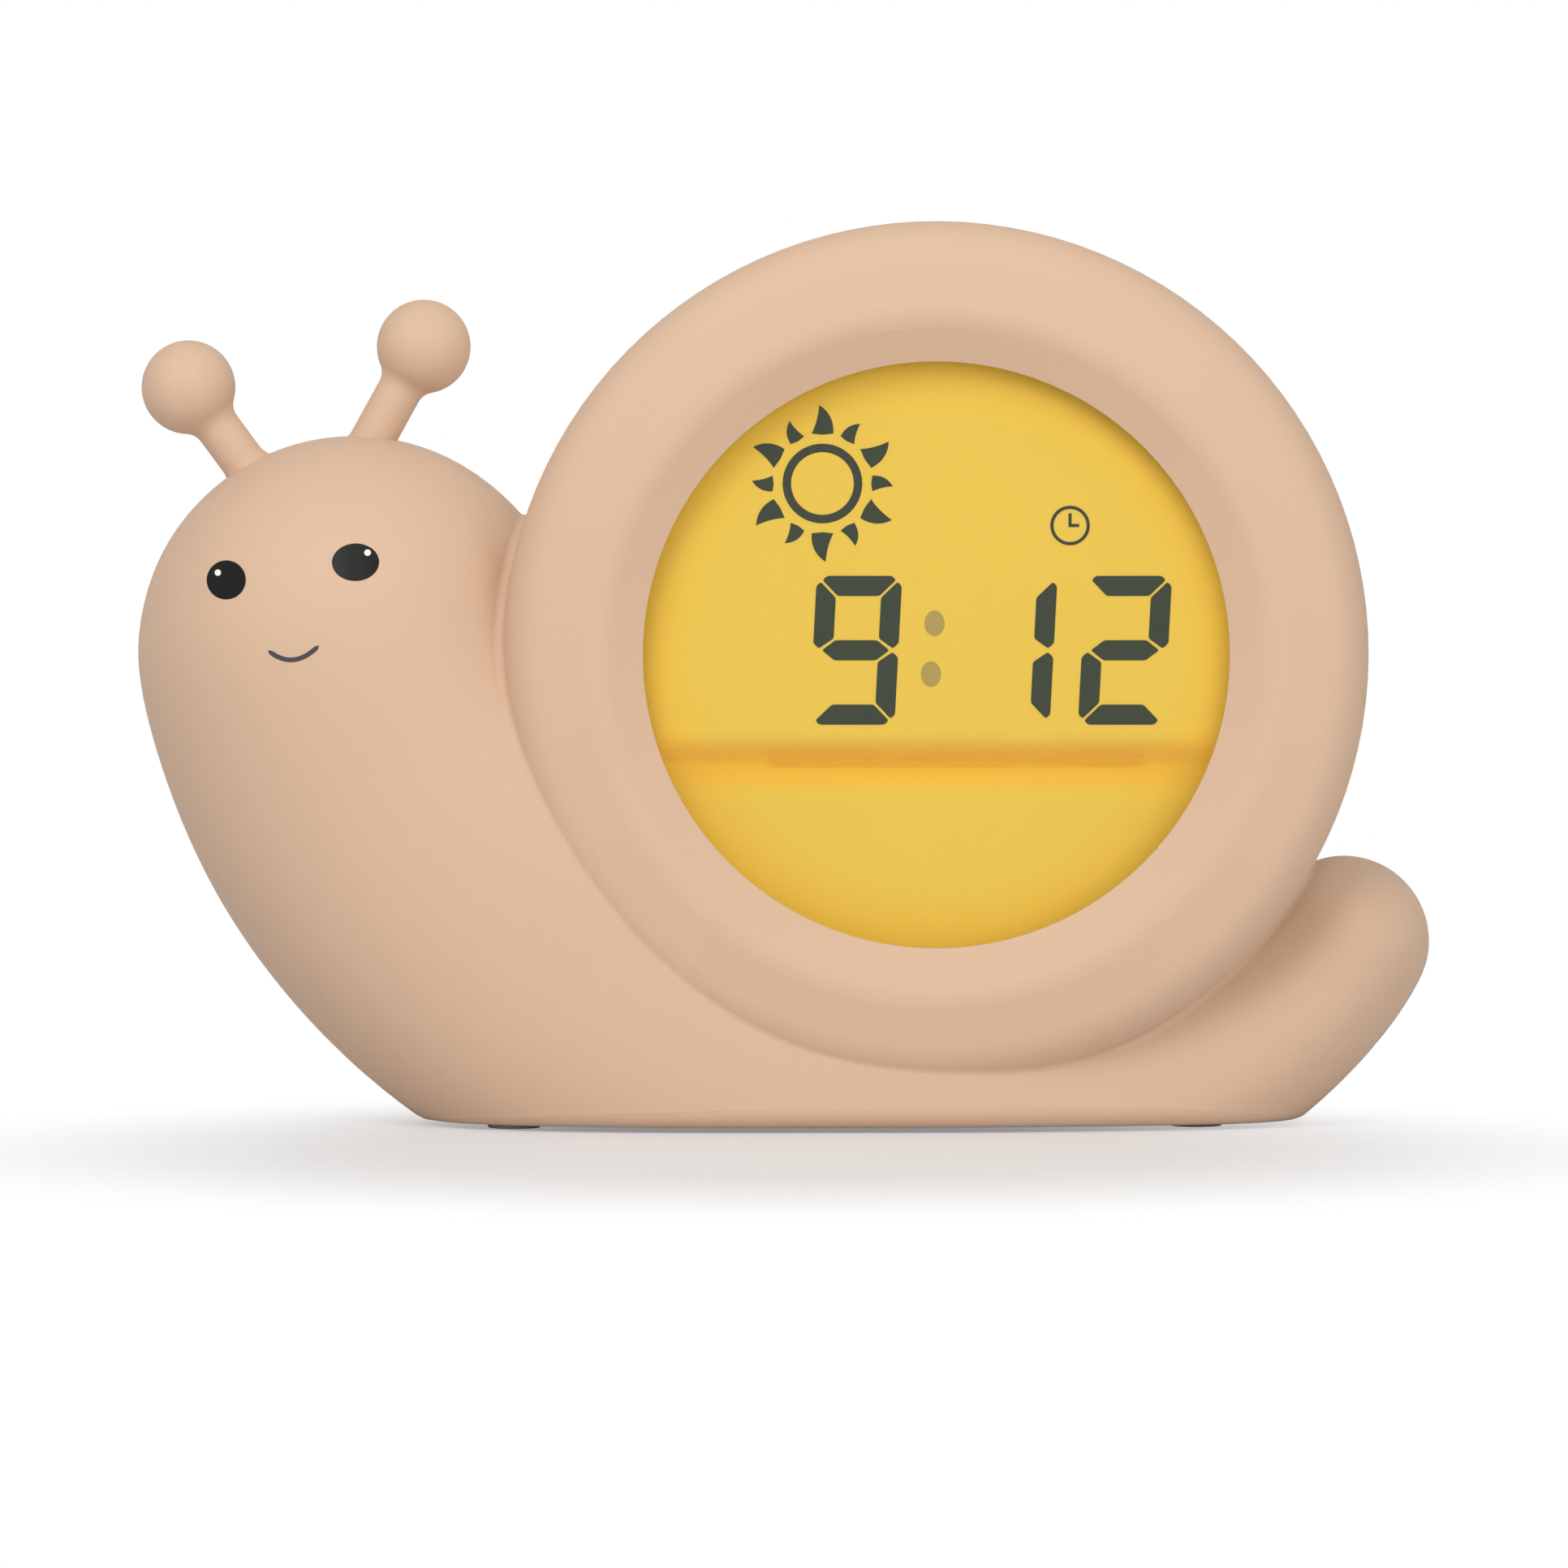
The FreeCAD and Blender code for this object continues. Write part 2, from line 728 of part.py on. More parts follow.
def display_glass(grow):
    left = drum_x - glass_half_width - grow
    right = drum_x + glass_half_width + grow
    top = glass_top + grow
    bottom = glass_bottom - grow
    points = [(left, bottom), (right, bottom), (right, top - glass_chamfer),
              (right - glass_chamfer, top), (left + glass_chamfer, top), (left, top - glass_chamfer)]
    corners = [Vector(x, gasket_back, z) for x, z in points]
    face = Part.Face(Part.makePolygon(corners + corners[:1]))
    return face.extrude(Vector(0, glass_thick, 0))


def shelf_height():
    return glass_top - strip_inset - strip_height - strip_shelf


def display_diffuser():
    plate = disc(drum_x, drum_z, window_radius + window_lap, glass_back, diffuser_back)
    return plate.cut(above(shelf_height() - clearance))


def connector_strip(grow):
    z_to = glass_top - strip_inset + grow
    return block(drum_x - strip_width / 2 - grow, drum_x + strip_width / 2 + grow,
                 glass_back, board_front, z_to - strip_height - 2 * grow, z_to)


def display_holder():
    light_box = window_radius + window_lap - holder_wall
    shape = disc(drum_x, drum_z, holder_radius, gasket_back, board_front)
    hollow = disc(drum_x, drum_z, light_box, gasket_back - 1, board_front + 1)
    shape = shape.cut(hollow.cut(above(shelf_height())))
    seat = disc(drum_x, drum_z, window_radius + window_lap + clearance, gasket_back - 1,
                diffuser_back)
    shape = shape.cut(seat.cut(above(shelf_height())))
    shape = shape.cut(display_glass(clearance)).cut(connector_strip(clearance / 2))
    for angle in ear_angles:
        x, z = on_drum(ear_circle, angle)
        shape = shape.cut(disc(x, z, ear_radius, gasket_back - 1, board_front + 1))
        start = glass_back + ear_length - ear_thick
        shape = shape.fuse(disc(x, z, ear_radius, start, start + ear_thick))
        shape = shape.cut(disc(x, z, screw_radius + clearance / 2, start - 1, board_front + 1))
    for angle in board_screw_angles:
        x, z = on_drum(board_screw_circle, angle)
        shape = shape.cut(disc(x, z, pilot_radius, board_front - board_screw_length,
                               board_front + 1))
    return shape.cut(above(-1).cut(above(bay_top + 3 * clearance)))


def main_board():
    shape = disc(drum_x, drum_z, board_radius, board_front, board_back)
    holes = []
    for angle in board_screw_angles:
        x, z = on_drum(board_screw_circle, angle)
        holes.append(disc(x, z, screw_radius + clearance / 2, board_front - 1, board_back + 1))
    return shape.cut(holes).common(above(bay_top + 5 * clearance))


def on_board(place, size, y_from):
    x = drum_x + place[0]
    z = drum_z + place[1]
    return block(x - size[0] / 2, x + size[0] / 2, y_from, y_from + size[1],
                 z - size[2] / 2, z + size[2] / 2)


def ring_of_leds(size, circle, count, y_from):
    leds = []
    for step in range(count):
        x, z = on_drum(circle, 360.0 * step / count + led_start_angle)
        leds.append(block(x - size[0] / 2, x + size[0] / 2, y_from, y_from + size[1],
                          z - size[2] / 2, z + size[2] / 2))
    return group(leds)


def clock_crystal():
    x = drum_x + crystal_place[0]
    z = drum_z + crystal_place[1]
    return Part.makeCylinder(crystal_radius, crystal_length,
                             Vector(x, board_back + crystal_radius, z), Vector(1, 0, 0))


def wire_plugs():
    places = (power_plug_place, speaker_plug_place, key_plug_place, light_plug_place)
    return group([on_board(place, socket_size, board_back) for place in places])


def board_spacers():
    spacers = []
    for angle in spacer_angles:
        x, z = on_drum(spacer_circle, angle)
        spacers.append(disc(x, z, spacer_radius, board_back, light_board_front))
    return group(spacers)


def night_light_board():
    shape = disc(drum_x, drum_z, light_board_radius, light_board_front,
                 light_board_front + board_thick)
    holes = []
    for angle in spacer_angles:
        x, z = on_drum(spacer_circle, angle)
        holes.append(disc(x, z, screw_radius + clearance / 2, 0, half_depth))
    return shape.cut(holes)


def screw(length):
    # pan head from 0 to its height, shank going down
    head = Part.makeCylinder(head_of_screw, head_height)
    top = edges_at(head, lambda edge: edge.BoundBox.ZMin > head_height / 2)
    head = head.makeFillet(head_height / 3, top)
    slot_long = head_of_screw * 1.3
    slot_wide = head_height / 4
    for long_half, wide_half in ((slot_long / 2, slot_wide / 2), (slot_wide / 2, slot_long / 2)):
        head = head.cut(block(-long_half, long_half, -wide_half, wide_half,
                              head_height / 2, head_height + 1))
    return head.fuse(Part.makeCylinder(pilot_radius, length, Vector(0, 0, -length)))


def screw_facing(place, direction, length):
    # a screw whose head looks along direction, with the underside of the head at place
    shape = screw(length)
    turn = FreeCAD.Rotation(Vector(0, 0, 1), direction)
    shape.Placement = FreeCAD.Placement(place, turn)
    return shape


def casing_screw_group():
    screws = []
    for x, z in casing_screws:
        screws.append(screw_facing(Vector(x, casing_screw_seat, z), Vector(0, 1, 0),
                                   casing_screw_length))
    return group(screws)


def holder_screw_group():
    screws = []
    for angle in ear_angles:
        x, z = on_drum(ear_circle, angle)
        screws.append(screw_facing(Vector(x, glass_back + ear_length, z), Vector(0, 1, 0),
                                   board_screw_length))
    return group(screws)


def board_screw_group():
    screws = []
    for angle in board_screw_angles:
        x, z = on_drum(board_screw_circle, angle)
        screws.append(screw_facing(Vector(x, board_back, z), Vector(0, 1, 0), board_screw_length))
    return group(screws)


def spacer_screw_group():
    screws = []
    for angle in spacer_angles:
        x, z = on_drum(spacer_circle, angle)
        place = Vector(x, light_board_front + board_thick, z)
        screws.append(screw_facing(place, Vector(0, 1, 0), board_thick))
    return group(screws)


def plate_screw_group():
    screws = []
    for x, y in plate_screws:
        screws.append(screw_facing(Vector(x, y, foot_gap + head_height), Vector(0, 0, -1),
                                   plate_screw_length))
    return group(screws)


def key_board_back():
    return panel_back - tact_gap() - board_thick


def key_board():
    shape = block(-key_board_half_long, key_board_half_long, key_board_back(),
                  key_board_back() + board_thick, -key_board_half_wide, key_board_half_wide)
    holes = []
    for along, outward in post_places:
        holes.append(disc(along, outward, screw_radius + clearance / 2, 0, half_depth))
    return on_panel(shape.cut(holes))


def key_board_screws():
    screws = []
    for along, outward in post_places:
        place = Vector(along, key_board_back(), outward)
        screws.append(screw_facing(place, Vector(0, -1, 0), tact_gap()))
    return on_panel(group(screws))


def key_switches():
    switches = []
    start = key_board_back() + board_thick
    for name, along, outward in button_places():
        half = tact_size / 2
        body = block(along - half, along + half, start, start + tact_body,
                     outward - half, outward + half)
        stem = disc(along, outward, tact_stem_radius, start + tact_body,
                    start + tact_body + tact_stem)
        switches.append(body.fuse(stem))
    return on_panel(group(switches))


def button(along, outward):
    flange_back = panel_back - button_free - button_flange_thick
    flange = disc(along, outward, button_radius + button_flange, flange_back,
                  panel_back - button_free)
    cap = disc(along, outward, button_radius, flange_back, panel_face + button_rise)
    rim = edges_at(cap, lambda edge: edge.BoundBox.YMin > panel_face + button_rise - 0.01)
    return on_panel(cap.makeFillet(button_round, rim).fuse(flange))


def slide_switch():
    start = key_board_back() + board_thick
    return on_panel(block(slider_place - slide_body_long / 2, slider_place + slide_body_long / 2,
                          start, start + slide_body_tall - clearance,
                          lower_row - slide_body_wide / 2, lower_row + slide_body_wide / 2))


def slide_knob():
    plate_y = panel_back - button_free - knob_plate_thick
    plate = block(slider_place - knob_plate_long / 2, slider_place + knob_plate_long / 2,
                  plate_y, plate_y + knob_plate_thick,
                  lower_row - knob_plate_wide / 2, lower_row + knob_plate_wide / 2)
    half = knob_size / 2
    knob = block(slider_place - half, slider_place + half, plate_y, panel_face + knob_rise,
                 lower_row - half, lower_row + half)
    top = edges_at(knob, lambda edge: edge.BoundBox.YMin > panel_face + knob_rise - 0.01)
    return on_panel(knob.makeFillet(button_round, top).fuse(plate))


def power_socket():
    start = key_board_back() + board_thick
    outside = inlet_form(0, start, panel_face)
    mouth = inlet_form(-inlet_shell, panel_face - inlet_depth, panel_face + 1)
    tongue = block(inlet_place[0] - inlet_shell, inlet_place[0] + inlet_shell,
                   panel_face - inlet_depth - inlet_shell,
                   panel_face - inlet_tongue_set_back,
                   inlet_place[1] - inlet_long / 2 + inlet_wide / 2,
                   inlet_place[1] + inlet_long / 2 - inlet_wide / 2)
    return on_panel(outside.cut(mouth).fuse(tongue))


def speaker():
    frame = disc(head_x, head_z, speaker_radius, speaker_face - speaker_frame, speaker_face)
    bowl = Part.makeCone(speaker_radius - speaker_rim, magnet_radius / 2, cone_depth,
                         Vector(head_x, speaker_face, head_z), Vector(0, -1, 0))
    magnet = disc(head_x, head_z, magnet_radius, speaker_face - speaker_frame - magnet_depth,
                  speaker_face - speaker_frame)
    return frame.cut(bowl).fuse(magnet)


def cell_places():
    # y of each cell and which way its plus end points
    places = []
    for step in range(cell_count):
        y = (step - (cell_count - 1) / 2.0) * cell_pitch
        places.append((y, 1 if step % 2 == 0 else -1))
    return places


def battery_cells():
    cells = []
    for y, way in cell_places():
        can = cell_length - nub_length
        minus = bay_inner_left + contact_thick + spring_length
        if way < 0:
            minus = bay_inner_right - contact_thick - spring_length
        axis = Vector(way, 0, 0)
        body = Part.makeCylinder(cell_radius, can, Vector(minus, y, cell_axis), axis)
        nub = Part.makeCylinder(nub_radius, nub_length, Vector(minus + way * can, y, cell_axis),
                                axis)
        cells.append(body.fuse(nub))
    return group(cells)


def battery_contacts():
    plates = []
    for y, way in cell_places():
        for x in (bay_inner_left, bay_inner_right - contact_thick):
            plates.append(block(x, x + contact_thick, y - contact_half, y + contact_half,
                                cell_axis - contact_half, cell_axis + contact_half))
    return group(plates)


def battery_springs():
    springs = []
    for y, way in cell_places():
        plate = bay_inner_left + contact_thick
        if way < 0:
            plate = bay_inner_right - contact_thick
        cone = Part.makeCone(spring_radius, spring_radius / 2, spring_length,
                             Vector(plate, y, cell_axis), Vector(way, 0, 0))
        core = Part.makeCone(spring_radius - spring_wire, spring_radius / 2 - spring_wire,
                             spring_length,
                             Vector(plate, y, cell_axis), Vector(way, 0, 0))
        springs.append(cone.cut(core))
    return group(springs)


def tongue_end():
    return bay_right + door_lap - clearance + tongue_length - door_lap


def door_block(grow, z_from, z_to):
    # outline of the battery door with the screw tongue at its tail end
    lid = block(bay_inner_left - door_lap - grow, bay_inner_right + door_lap + grow,
                -bay_inner_half - door_lap - grow, bay_inner_half + door_lap + grow, z_from, z_to)
    tongue = block(bay_inner_right, tongue_end() + grow, -tongue_half_wide - grow,
                   tongue_half_wide + grow, z_from, z_to)
    return lid.fuse(tongue).removeSplitter()


def door_screw_place():
    return (tongue_end() - tongue_half_wide, 0)


def base_plate():
    plate = plate_block(0, foot_gap, plate_top)
    bay = block(bay_left, bay_right, -bay_half, bay_half, foot_gap, bay_top)
    screw_x, screw_y = door_screw_place()
    boss = post(screw_x, screw_y, plate_boss_radius, plate_top - 0.5,
                plate_top + plate_boss_height)
    shape = plate.fuse([bay, boss])
    cuts = [
        block(bay_inner_left, bay_inner_right, -bay_inner_half, bay_inner_half, -1, bay_inner_top),
        door_block(clearance, -1, foot_gap + door_thick + clearance),
        post(screw_x, screw_y, screw_radius + clearance / 2, -1, plate_top + plate_boss_height - 1),
    ]
    for x, y in plate_screws:
        cuts.append(post(x, y, screw_radius + clearance / 2, -1, plate_top + 1))
        cuts.append(post(x, y, head_of_screw + clearance, -1, foot_gap + head_height))
    return shape.cut(cuts)


def battery_door():
    shape = door_block(0, foot_gap, foot_gap + door_thick)
    screw_x, screw_y = door_screw_place()
    grips = []
    for step in range(grip_count):
        x = bay_inner_left + grip_inset + grip_pitch * step
        grips.append(block(x, x + grip_wide, -grip_half_long, grip_half_long,
                           foot_gap - 1, foot_gap + grip_depth))
    grips.append(post(screw_x, screw_y, pilot_radius, -1, plate_top))
    grips.append(post(screw_x, screw_y, head_of_screw + clearance / 2, -1,
                      foot_gap + door_screw_sink))
    return shape.cut(grips)


def battery_door_screw():
    screw_x, screw_y = door_screw_place()
    shape = Part.makeCylinder(head_of_screw, door_screw_sink, Vector(screw_x, screw_y, foot_gap))
    slot_half = head_height / 5
    slot = block(screw_x - head_of_screw, screw_x + head_of_screw, screw_y - slot_half,
                 screw_y + slot_half, foot_gap - 1, foot_gap + door_screw_sink / 2)
    shank = post(screw_x, screw_y, pilot_radius, foot_gap + door_screw_sink,
                 plate_top + plate_screw_length - 1)
    return shape.cut(slot).fuse(shank)


def rubber_feet():
    pads = []
    for x, y in pad_places:
        pad = post(x, y, pad_radius, 0, pad_thick)
        rim = edges_at(pad, lambda edge: edge.BoundBox.ZMax < 0.01)
        pads.append(pad.makeFillet(foot_gap / 2, rim))
    return group(pads)


def wire(points):
    curve = Part.BSplineCurve()
    curve.interpolate([Vector(*point) for point in points])
    path = Part.Wire(curve.toShape())
    start = Vector(*points[0])
    ahead = curve.tangent(curve.FirstParameter)[0]
    ring = Part.Wire(Part.makeCircle(wire_radius, start, ahead))
    return path.makePipeShell([ring], True, False)


def plug_back(place, offset):
    return (drum_x + place[0] + offset, board_back + socket_size[1] + wire_gap, drum_z + place[1])


def battery_wires():
    wires = []
    for side in (-1, 1):
        x, y, z = plug_back(power_plug_place, side * 1.5)
        out = bay_right + wire_radius + wire_gap
        wires.append(wire([(out, side * cell_pitch / 2, cell_axis),
                           (out + 5, side * cell_pitch / 2, bay_top + 4),
                           (x + 3, y + 5, z - 9), (x, y + 4, z - 1), (x, y, z)]))
    return group(wires)


def speaker_wires():
    wires = []
    magnet_back = speaker_face - speaker_frame - magnet_depth
    for side in (-1, 1):
        x, y, z = plug_back(speaker_plug_place, side * 1.5)
        wires.append(wire([(head_x + side * 2, magnet_back - 3 * wire_gap, head_z),
                           (head_x + 8, 3 + side, head_z), (-31, 2 + side, head_z),
                           (x - 6, y + 4 + side, z - 3), (x, y + 3, z), (x, y, z)]))
    return group(wires)


def key_wires():
    wires = []
    centre = on_drum(panel_circle, panel_angle)
    for side in (-1, 0, 1):
        x, y, z = plug_back(key_plug_place, side * 2)
        wires.append(wire([(centre[0] + 6 + side * 2, key_board_back() - 2 * wire_gap, centre[1]),
                           (centre[0] + 10 + side * 2, key_board_back() - 6, centre[1] + 1),
                           (x - 8, y + 6, z - 5), (x, y + 3, z), (x, y, z)]))
    return group(wires)


def night_light_wires():
    wires = []
    for side in (-1, 0, 1):
        x, y, z = plug_back(light_plug_place, side * 2)
        solder = light_board_front - 3 * wire_gap
        wires.append(wire([(x, y, z), (x, y + 2, z), (x, solder - 2, z - 10), (x, solder, z - 15)]))
    return group(wires)


def export(name, shape):
    shape.exportStep("parts/" + name + ".step")


os.makedirs("parts", exist_ok=True)
export("front_casing", front_casing())
export("rear_casing", rear_casing())
export("night_light_dome", night_light_dome())
export("left_antenna", antenna(left_ball, left_root))
export("right_antenna", antenna(right_ball, right_root))
export("display_window", disc(drum_x, drum_z, window_radius + window_lap, window_front, window_back))
export("window_gasket", tube(drum_x, drum_z, window_radius + window_lap,
                             window_radius + window_lap - gasket_width, window_back, gasket_back))
export("lcd_glass", display_glass(0))
export("display_diffuser", display_diffuser())
export("display_holder", display_holder())
export("lcd_connector_strip", connector_strip(0))
export("main_board", main_board())
export("display_leds", ring_of_leds(display_led_size, display_led_circle, display_led_count,
                                    board_front - display_led_size[1]))
export("microcontroller", on_board(chip_place, chip_size, board_back))
export("clock_crystal", clock_crystal())
export("wire_plugs", wire_plugs())
export("board_spacers", board_spacers())
export("night_light_board", night_light_board())
export("night_light_leds", ring_of_leds(light_led_size, light_led_circle, light_led_count,
                                        light_board_front + board_thick))
export("key_board", key_board())
export("key_switches", key_switches())
for name, along, outward in button_places():
    export(name, button(along, outward))
export("slide_switch", slide_switch())
export("slide_knob", slide_knob())
export("power_socket", power_socket())
export("speaker", speaker())
export("base_plate", base_plate())
export("battery_door", battery_door())
export("battery_door_screw", battery_door_screw())
export("battery_cells", battery_cells())
export("battery_contacts", battery_contacts())
export("battery_springs", battery_springs())
export("casing_screws", casing_screw_group())
export("holder_screws", holder_screw_group())
export("board_screws", board_screw_group())
export("spacer_screws", spacer_screw_group())
export("base_plate_screws", plate_screw_group())
export("key_board_screws", key_board_screws())
export("rubber_feet", rubber_feet())
export("battery_wires", battery_wires())
export("speaker_wires", speaker_wires())
export("key_wires", key_wires())
export("night_light_wires", night_light_wires())
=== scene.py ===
# %% [markdown]
# # A snail alarm clock with a night light
# This lesson dresses a small bedside clock. Its mouldings, boards and buttons come from the packed
# construction model, at their real size. Here we give each one its finish, draw the lit display and
# the printed face, and photograph the clock in a white studio.

# %% Load the clock's frame
import bpy
import bmesh
import math
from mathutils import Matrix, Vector
from mathutils.bvhtree import BVHTree


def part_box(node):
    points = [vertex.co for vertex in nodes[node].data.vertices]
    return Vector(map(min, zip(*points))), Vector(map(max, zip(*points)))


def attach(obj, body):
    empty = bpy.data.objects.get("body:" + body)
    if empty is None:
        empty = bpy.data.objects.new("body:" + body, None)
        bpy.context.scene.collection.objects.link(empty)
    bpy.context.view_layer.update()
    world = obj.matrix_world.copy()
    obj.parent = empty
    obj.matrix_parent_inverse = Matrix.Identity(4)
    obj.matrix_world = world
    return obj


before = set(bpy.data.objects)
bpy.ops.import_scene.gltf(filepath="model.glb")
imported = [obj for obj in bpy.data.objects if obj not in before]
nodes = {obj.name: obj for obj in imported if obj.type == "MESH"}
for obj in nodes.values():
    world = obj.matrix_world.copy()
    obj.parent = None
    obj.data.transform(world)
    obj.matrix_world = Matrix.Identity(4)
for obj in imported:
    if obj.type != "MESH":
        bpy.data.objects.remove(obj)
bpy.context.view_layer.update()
print("pieces in the frame:", len(nodes))

# %% [markdown]
# ## A finish for every moulding
# Moulded plastic is never one flat colour. Its tone drifts a little across the part, and the tool's
# spark-eroded texture breaks up the gloss. We could paint image maps, but noise in object space
# needs no unwrapping and stays sharp at any distance, so every finish is built from it.

# %% Helpers for node materials
MM = 0.001


def srgb(red, green, blue):
    """Colour values as seen on a screen, turned into the linear ones that the shader wants."""
    linear = []
    for value in (red, green, blue):
        part = value / 255
        linear.append(part / 12.92 if part <= 0.04045 else ((part + 0.055) / 1.055) ** 2.4)
    return (*linear, 1.0)


def shade(colour, factor):
    return (*[min(1.0, value * factor) for value in colour[:3]], 1.0)


def new_material(name, roughness):
    material = bpy.data.materials.new(name)
    material.use_nodes = True
    tree = material.node_tree
    surface = tree.nodes["Principled BSDF"]
    surface.inputs["Roughness"].default_value = roughness
    return material, tree, surface


def noise(tree, scale, detail=3.0):
    """Noise that is fixed to the object, with its scale counted in ripples per metre."""
    place = tree.nodes.new("ShaderNodeTexCoord")
    texture = tree.nodes.new("ShaderNodeTexNoise")
    texture.inputs["Scale"].default_value = scale
    texture.inputs["Detail"].default_value = detail
    tree.links.new(place.outputs["Object"], texture.inputs["Vector"])
    return texture.outputs["Fac"]


def between(tree, factor, low, high):
    """A colour that wanders between two others, each a fixed value or another node's output."""
    mix = tree.nodes.new("ShaderNodeMix")
    mix.data_type = "RGBA"
    for socket, colour in (("A", low), ("B", high)):
        if isinstance(colour, bpy.types.NodeSocket):
            tree.links.new(colour, mix.inputs[socket])
        else:
            mix.inputs[socket].default_value = colour
    tree.links.new(factor, mix.inputs["Factor"])
    return mix.outputs["Result"]


def bump(tree, surface, height, strength, distance):
    relief = tree.nodes.new("ShaderNodeBump")
    relief.inputs["Strength"].default_value = strength
    relief.inputs["Distance"].default_value = distance
    tree.links.new(height, relief.inputs["Height"])
    tree.links.new(relief.outputs["Normal"], surface.inputs["Normal"])


def roughness_range(tree, surface, factor, low, high):
    spread = tree.nodes.new("ShaderNodeMapRange")
    spread.inputs["To Min"].default_value = low
    spread.inputs["To Max"].default_value = high
    tree.links.new(factor, spread.inputs["Value"])
    tree.links.new(spread.outputs["Result"], surface.inputs["Roughness"])


def moulded(name, colour, roughness=0.5, grain=2500.0, depth=0.00002, drift=0.03):
    """Moulded plastic: slow colour drift, fine grain in the gloss and in the relief."""
    material, tree, surface = new_material(name, roughness)
    slow = noise(tree, 28.0, 2.0)
    fine = noise(tree, grain, 4.0)
    tone = between(tree, slow, shade(colour, 1 - drift), shade(colour, 1 + drift))
    tree.links.new(tone, surface.inputs["Base Color"])
    roughness_range(tree, surface, fine, roughness - 0.06, roughness + 0.06)
    bump(tree, surface, fine, 0.35, depth)
    return material


def metal(name, colour, roughness=0.3):
    material, tree, surface = new_material(name, roughness)
    surface.inputs["Metallic"].default_value = 1.0
    fine = noise(tree, 900.0, 5.0)
    tree.links.new(between(tree, fine, shade(colour, 0.9), colour), surface.inputs["Base Color"])
    roughness_range(tree, surface, fine, roughness - 0.08, roughness + 0.1)
    return material


def dress(material, *names):
    """Puts one finish on the named nodes of the frame."""
    for name in names:
        mesh = nodes[name].data
        mesh.materials.clear()
        mesh.materials.append(material)


# %% [markdown]
# ## Soft-touch casing
# The body is ABS with a velvety lacquer. Light spreads in the lacquer, so the surface has no hard
# highlight, only a faint lift towards grazing angles. A rough base with a little sheen gives that.

# %% Casing and antenna finish
CASING_PINK = srgb(210, 177, 149)


def soft_touch(name, colour):
    material, tree, surface = new_material(name, 0.62)
    slow = noise(tree, 22.0, 2.0)
    fine = noise(tree, 3200.0, 3.0)
    tone = between(tree, slow, shade(colour, 0.985), shade(colour, 1.015))
    tree.links.new(tone, surface.inputs["Base Color"])
    roughness_range(tree, surface, fine, 0.56, 0.68)
    bump(tree, surface, fine, 0.25, 0.000012)
    surface.inputs["Specular IOR Level"].default_value = 0.3
    surface.inputs["Sheen Weight"].default_value = 0.08
    surface.inputs["Sheen Roughness"].default_value = 0.4
    return material


casing_finish = soft_touch("soft_touch_pink", CASING_PINK)
dress(casing_finish, "front_casing", "rear_casing", "base_plate", "battery_door")
antenna_finish = soft_touch("silicone_pink", CASING_PINK)
dress(antenna_finish, "left_antenna", "right_antenna")
print("casing colour:", [round(value, 3) for value in CASING_PINK[:3]])

# %% [markdown]
# ## Night-light dome
# The back of the shell is a milky diffuser. Real milky plastic scatters light inside its wall. With
# subsurface scattering it looks soft, and a satin surface keeps it apart from the matte casing.

# %% Dome finish
dome_finish, tree, surface = new_material("milky_dome", 0.38)
cloud = noise(tree, 40.0, 2.0)
grain = noise(tree, 2200.0, 3.0)
tree.links.new(between(tree, cloud, srgb(238, 236, 231), srgb(243, 242, 238)),
               surface.inputs["Base Color"])
roughness_range(tree, surface, grain, 0.34, 0.42)
bump(tree, surface, grain, 0.2, 0.00001)
surface.inputs["Subsurface Weight"].default_value = 0.35
surface.inputs["Subsurface Radius"].default_value = (0.004, 0.004, 0.0036)
surface.inputs["Subsurface Scale"].default_value = 1.0
dress(dome_finish, "night_light_dome")

# %% [markdown]
# ## Inside and behind
# The parts that only show when the clock is opened get honest finishes too: green solder mask with
# fibre weave, nickel contacts, zinc screws, plain jackets on the cells.

# %% Finishes of the inner parts
white_moulding = moulded("white_moulding", srgb(232, 231, 226), 0.45)
dress(white_moulding, "display_holder", "wire_plugs", "board_spacers")
black_moulding = moulded("black_moulding", srgb(34, 34, 36), 0.5)
dress(black_moulding, "microcontroller", "key_switches", "speaker")
foam = moulded("black_foam", srgb(28, 28, 28), 0.9, 4000.0, 0.0001)
dress(foam, "window_gasket")
zinc = metal("zinc_screws", srgb(190, 190, 188), 0.32)
dress(zinc, "casing_screws", "holder_screws", "board_screws", "spacer_screws",
      "base_plate_screws", "battery_door_screw", "key_board_screws", "clock_crystal",
      "slide_switch", "power_socket")
nickel = metal("nickel_contacts", srgb(205, 200, 188), 0.25)
dress(nickel, "battery_contacts", "battery_springs")
jacket = moulded("cell_jacket", srgb(48, 54, 60), 0.3, 800.0, 0.000005)
dress(jacket, "battery_cells")
pads = moulded("pale_rubber", srgb(206, 184, 168), 0.8, 1800.0, 0.00004)
dress(pads, "rubber_feet")
button_white = moulded("button_white", srgb(240, 236, 228), 0.42, 2600.0, 0.00001)
dress(button_white, "button_clock", "button_alarm", "button_light", "button_minus",
      "button_plus", "slide_knob")
led_body = moulded("led_body", srgb(244, 236, 196), 0.25, 1200.0, 0.000005)
dress(led_body, "display_leds", "night_light_leds")


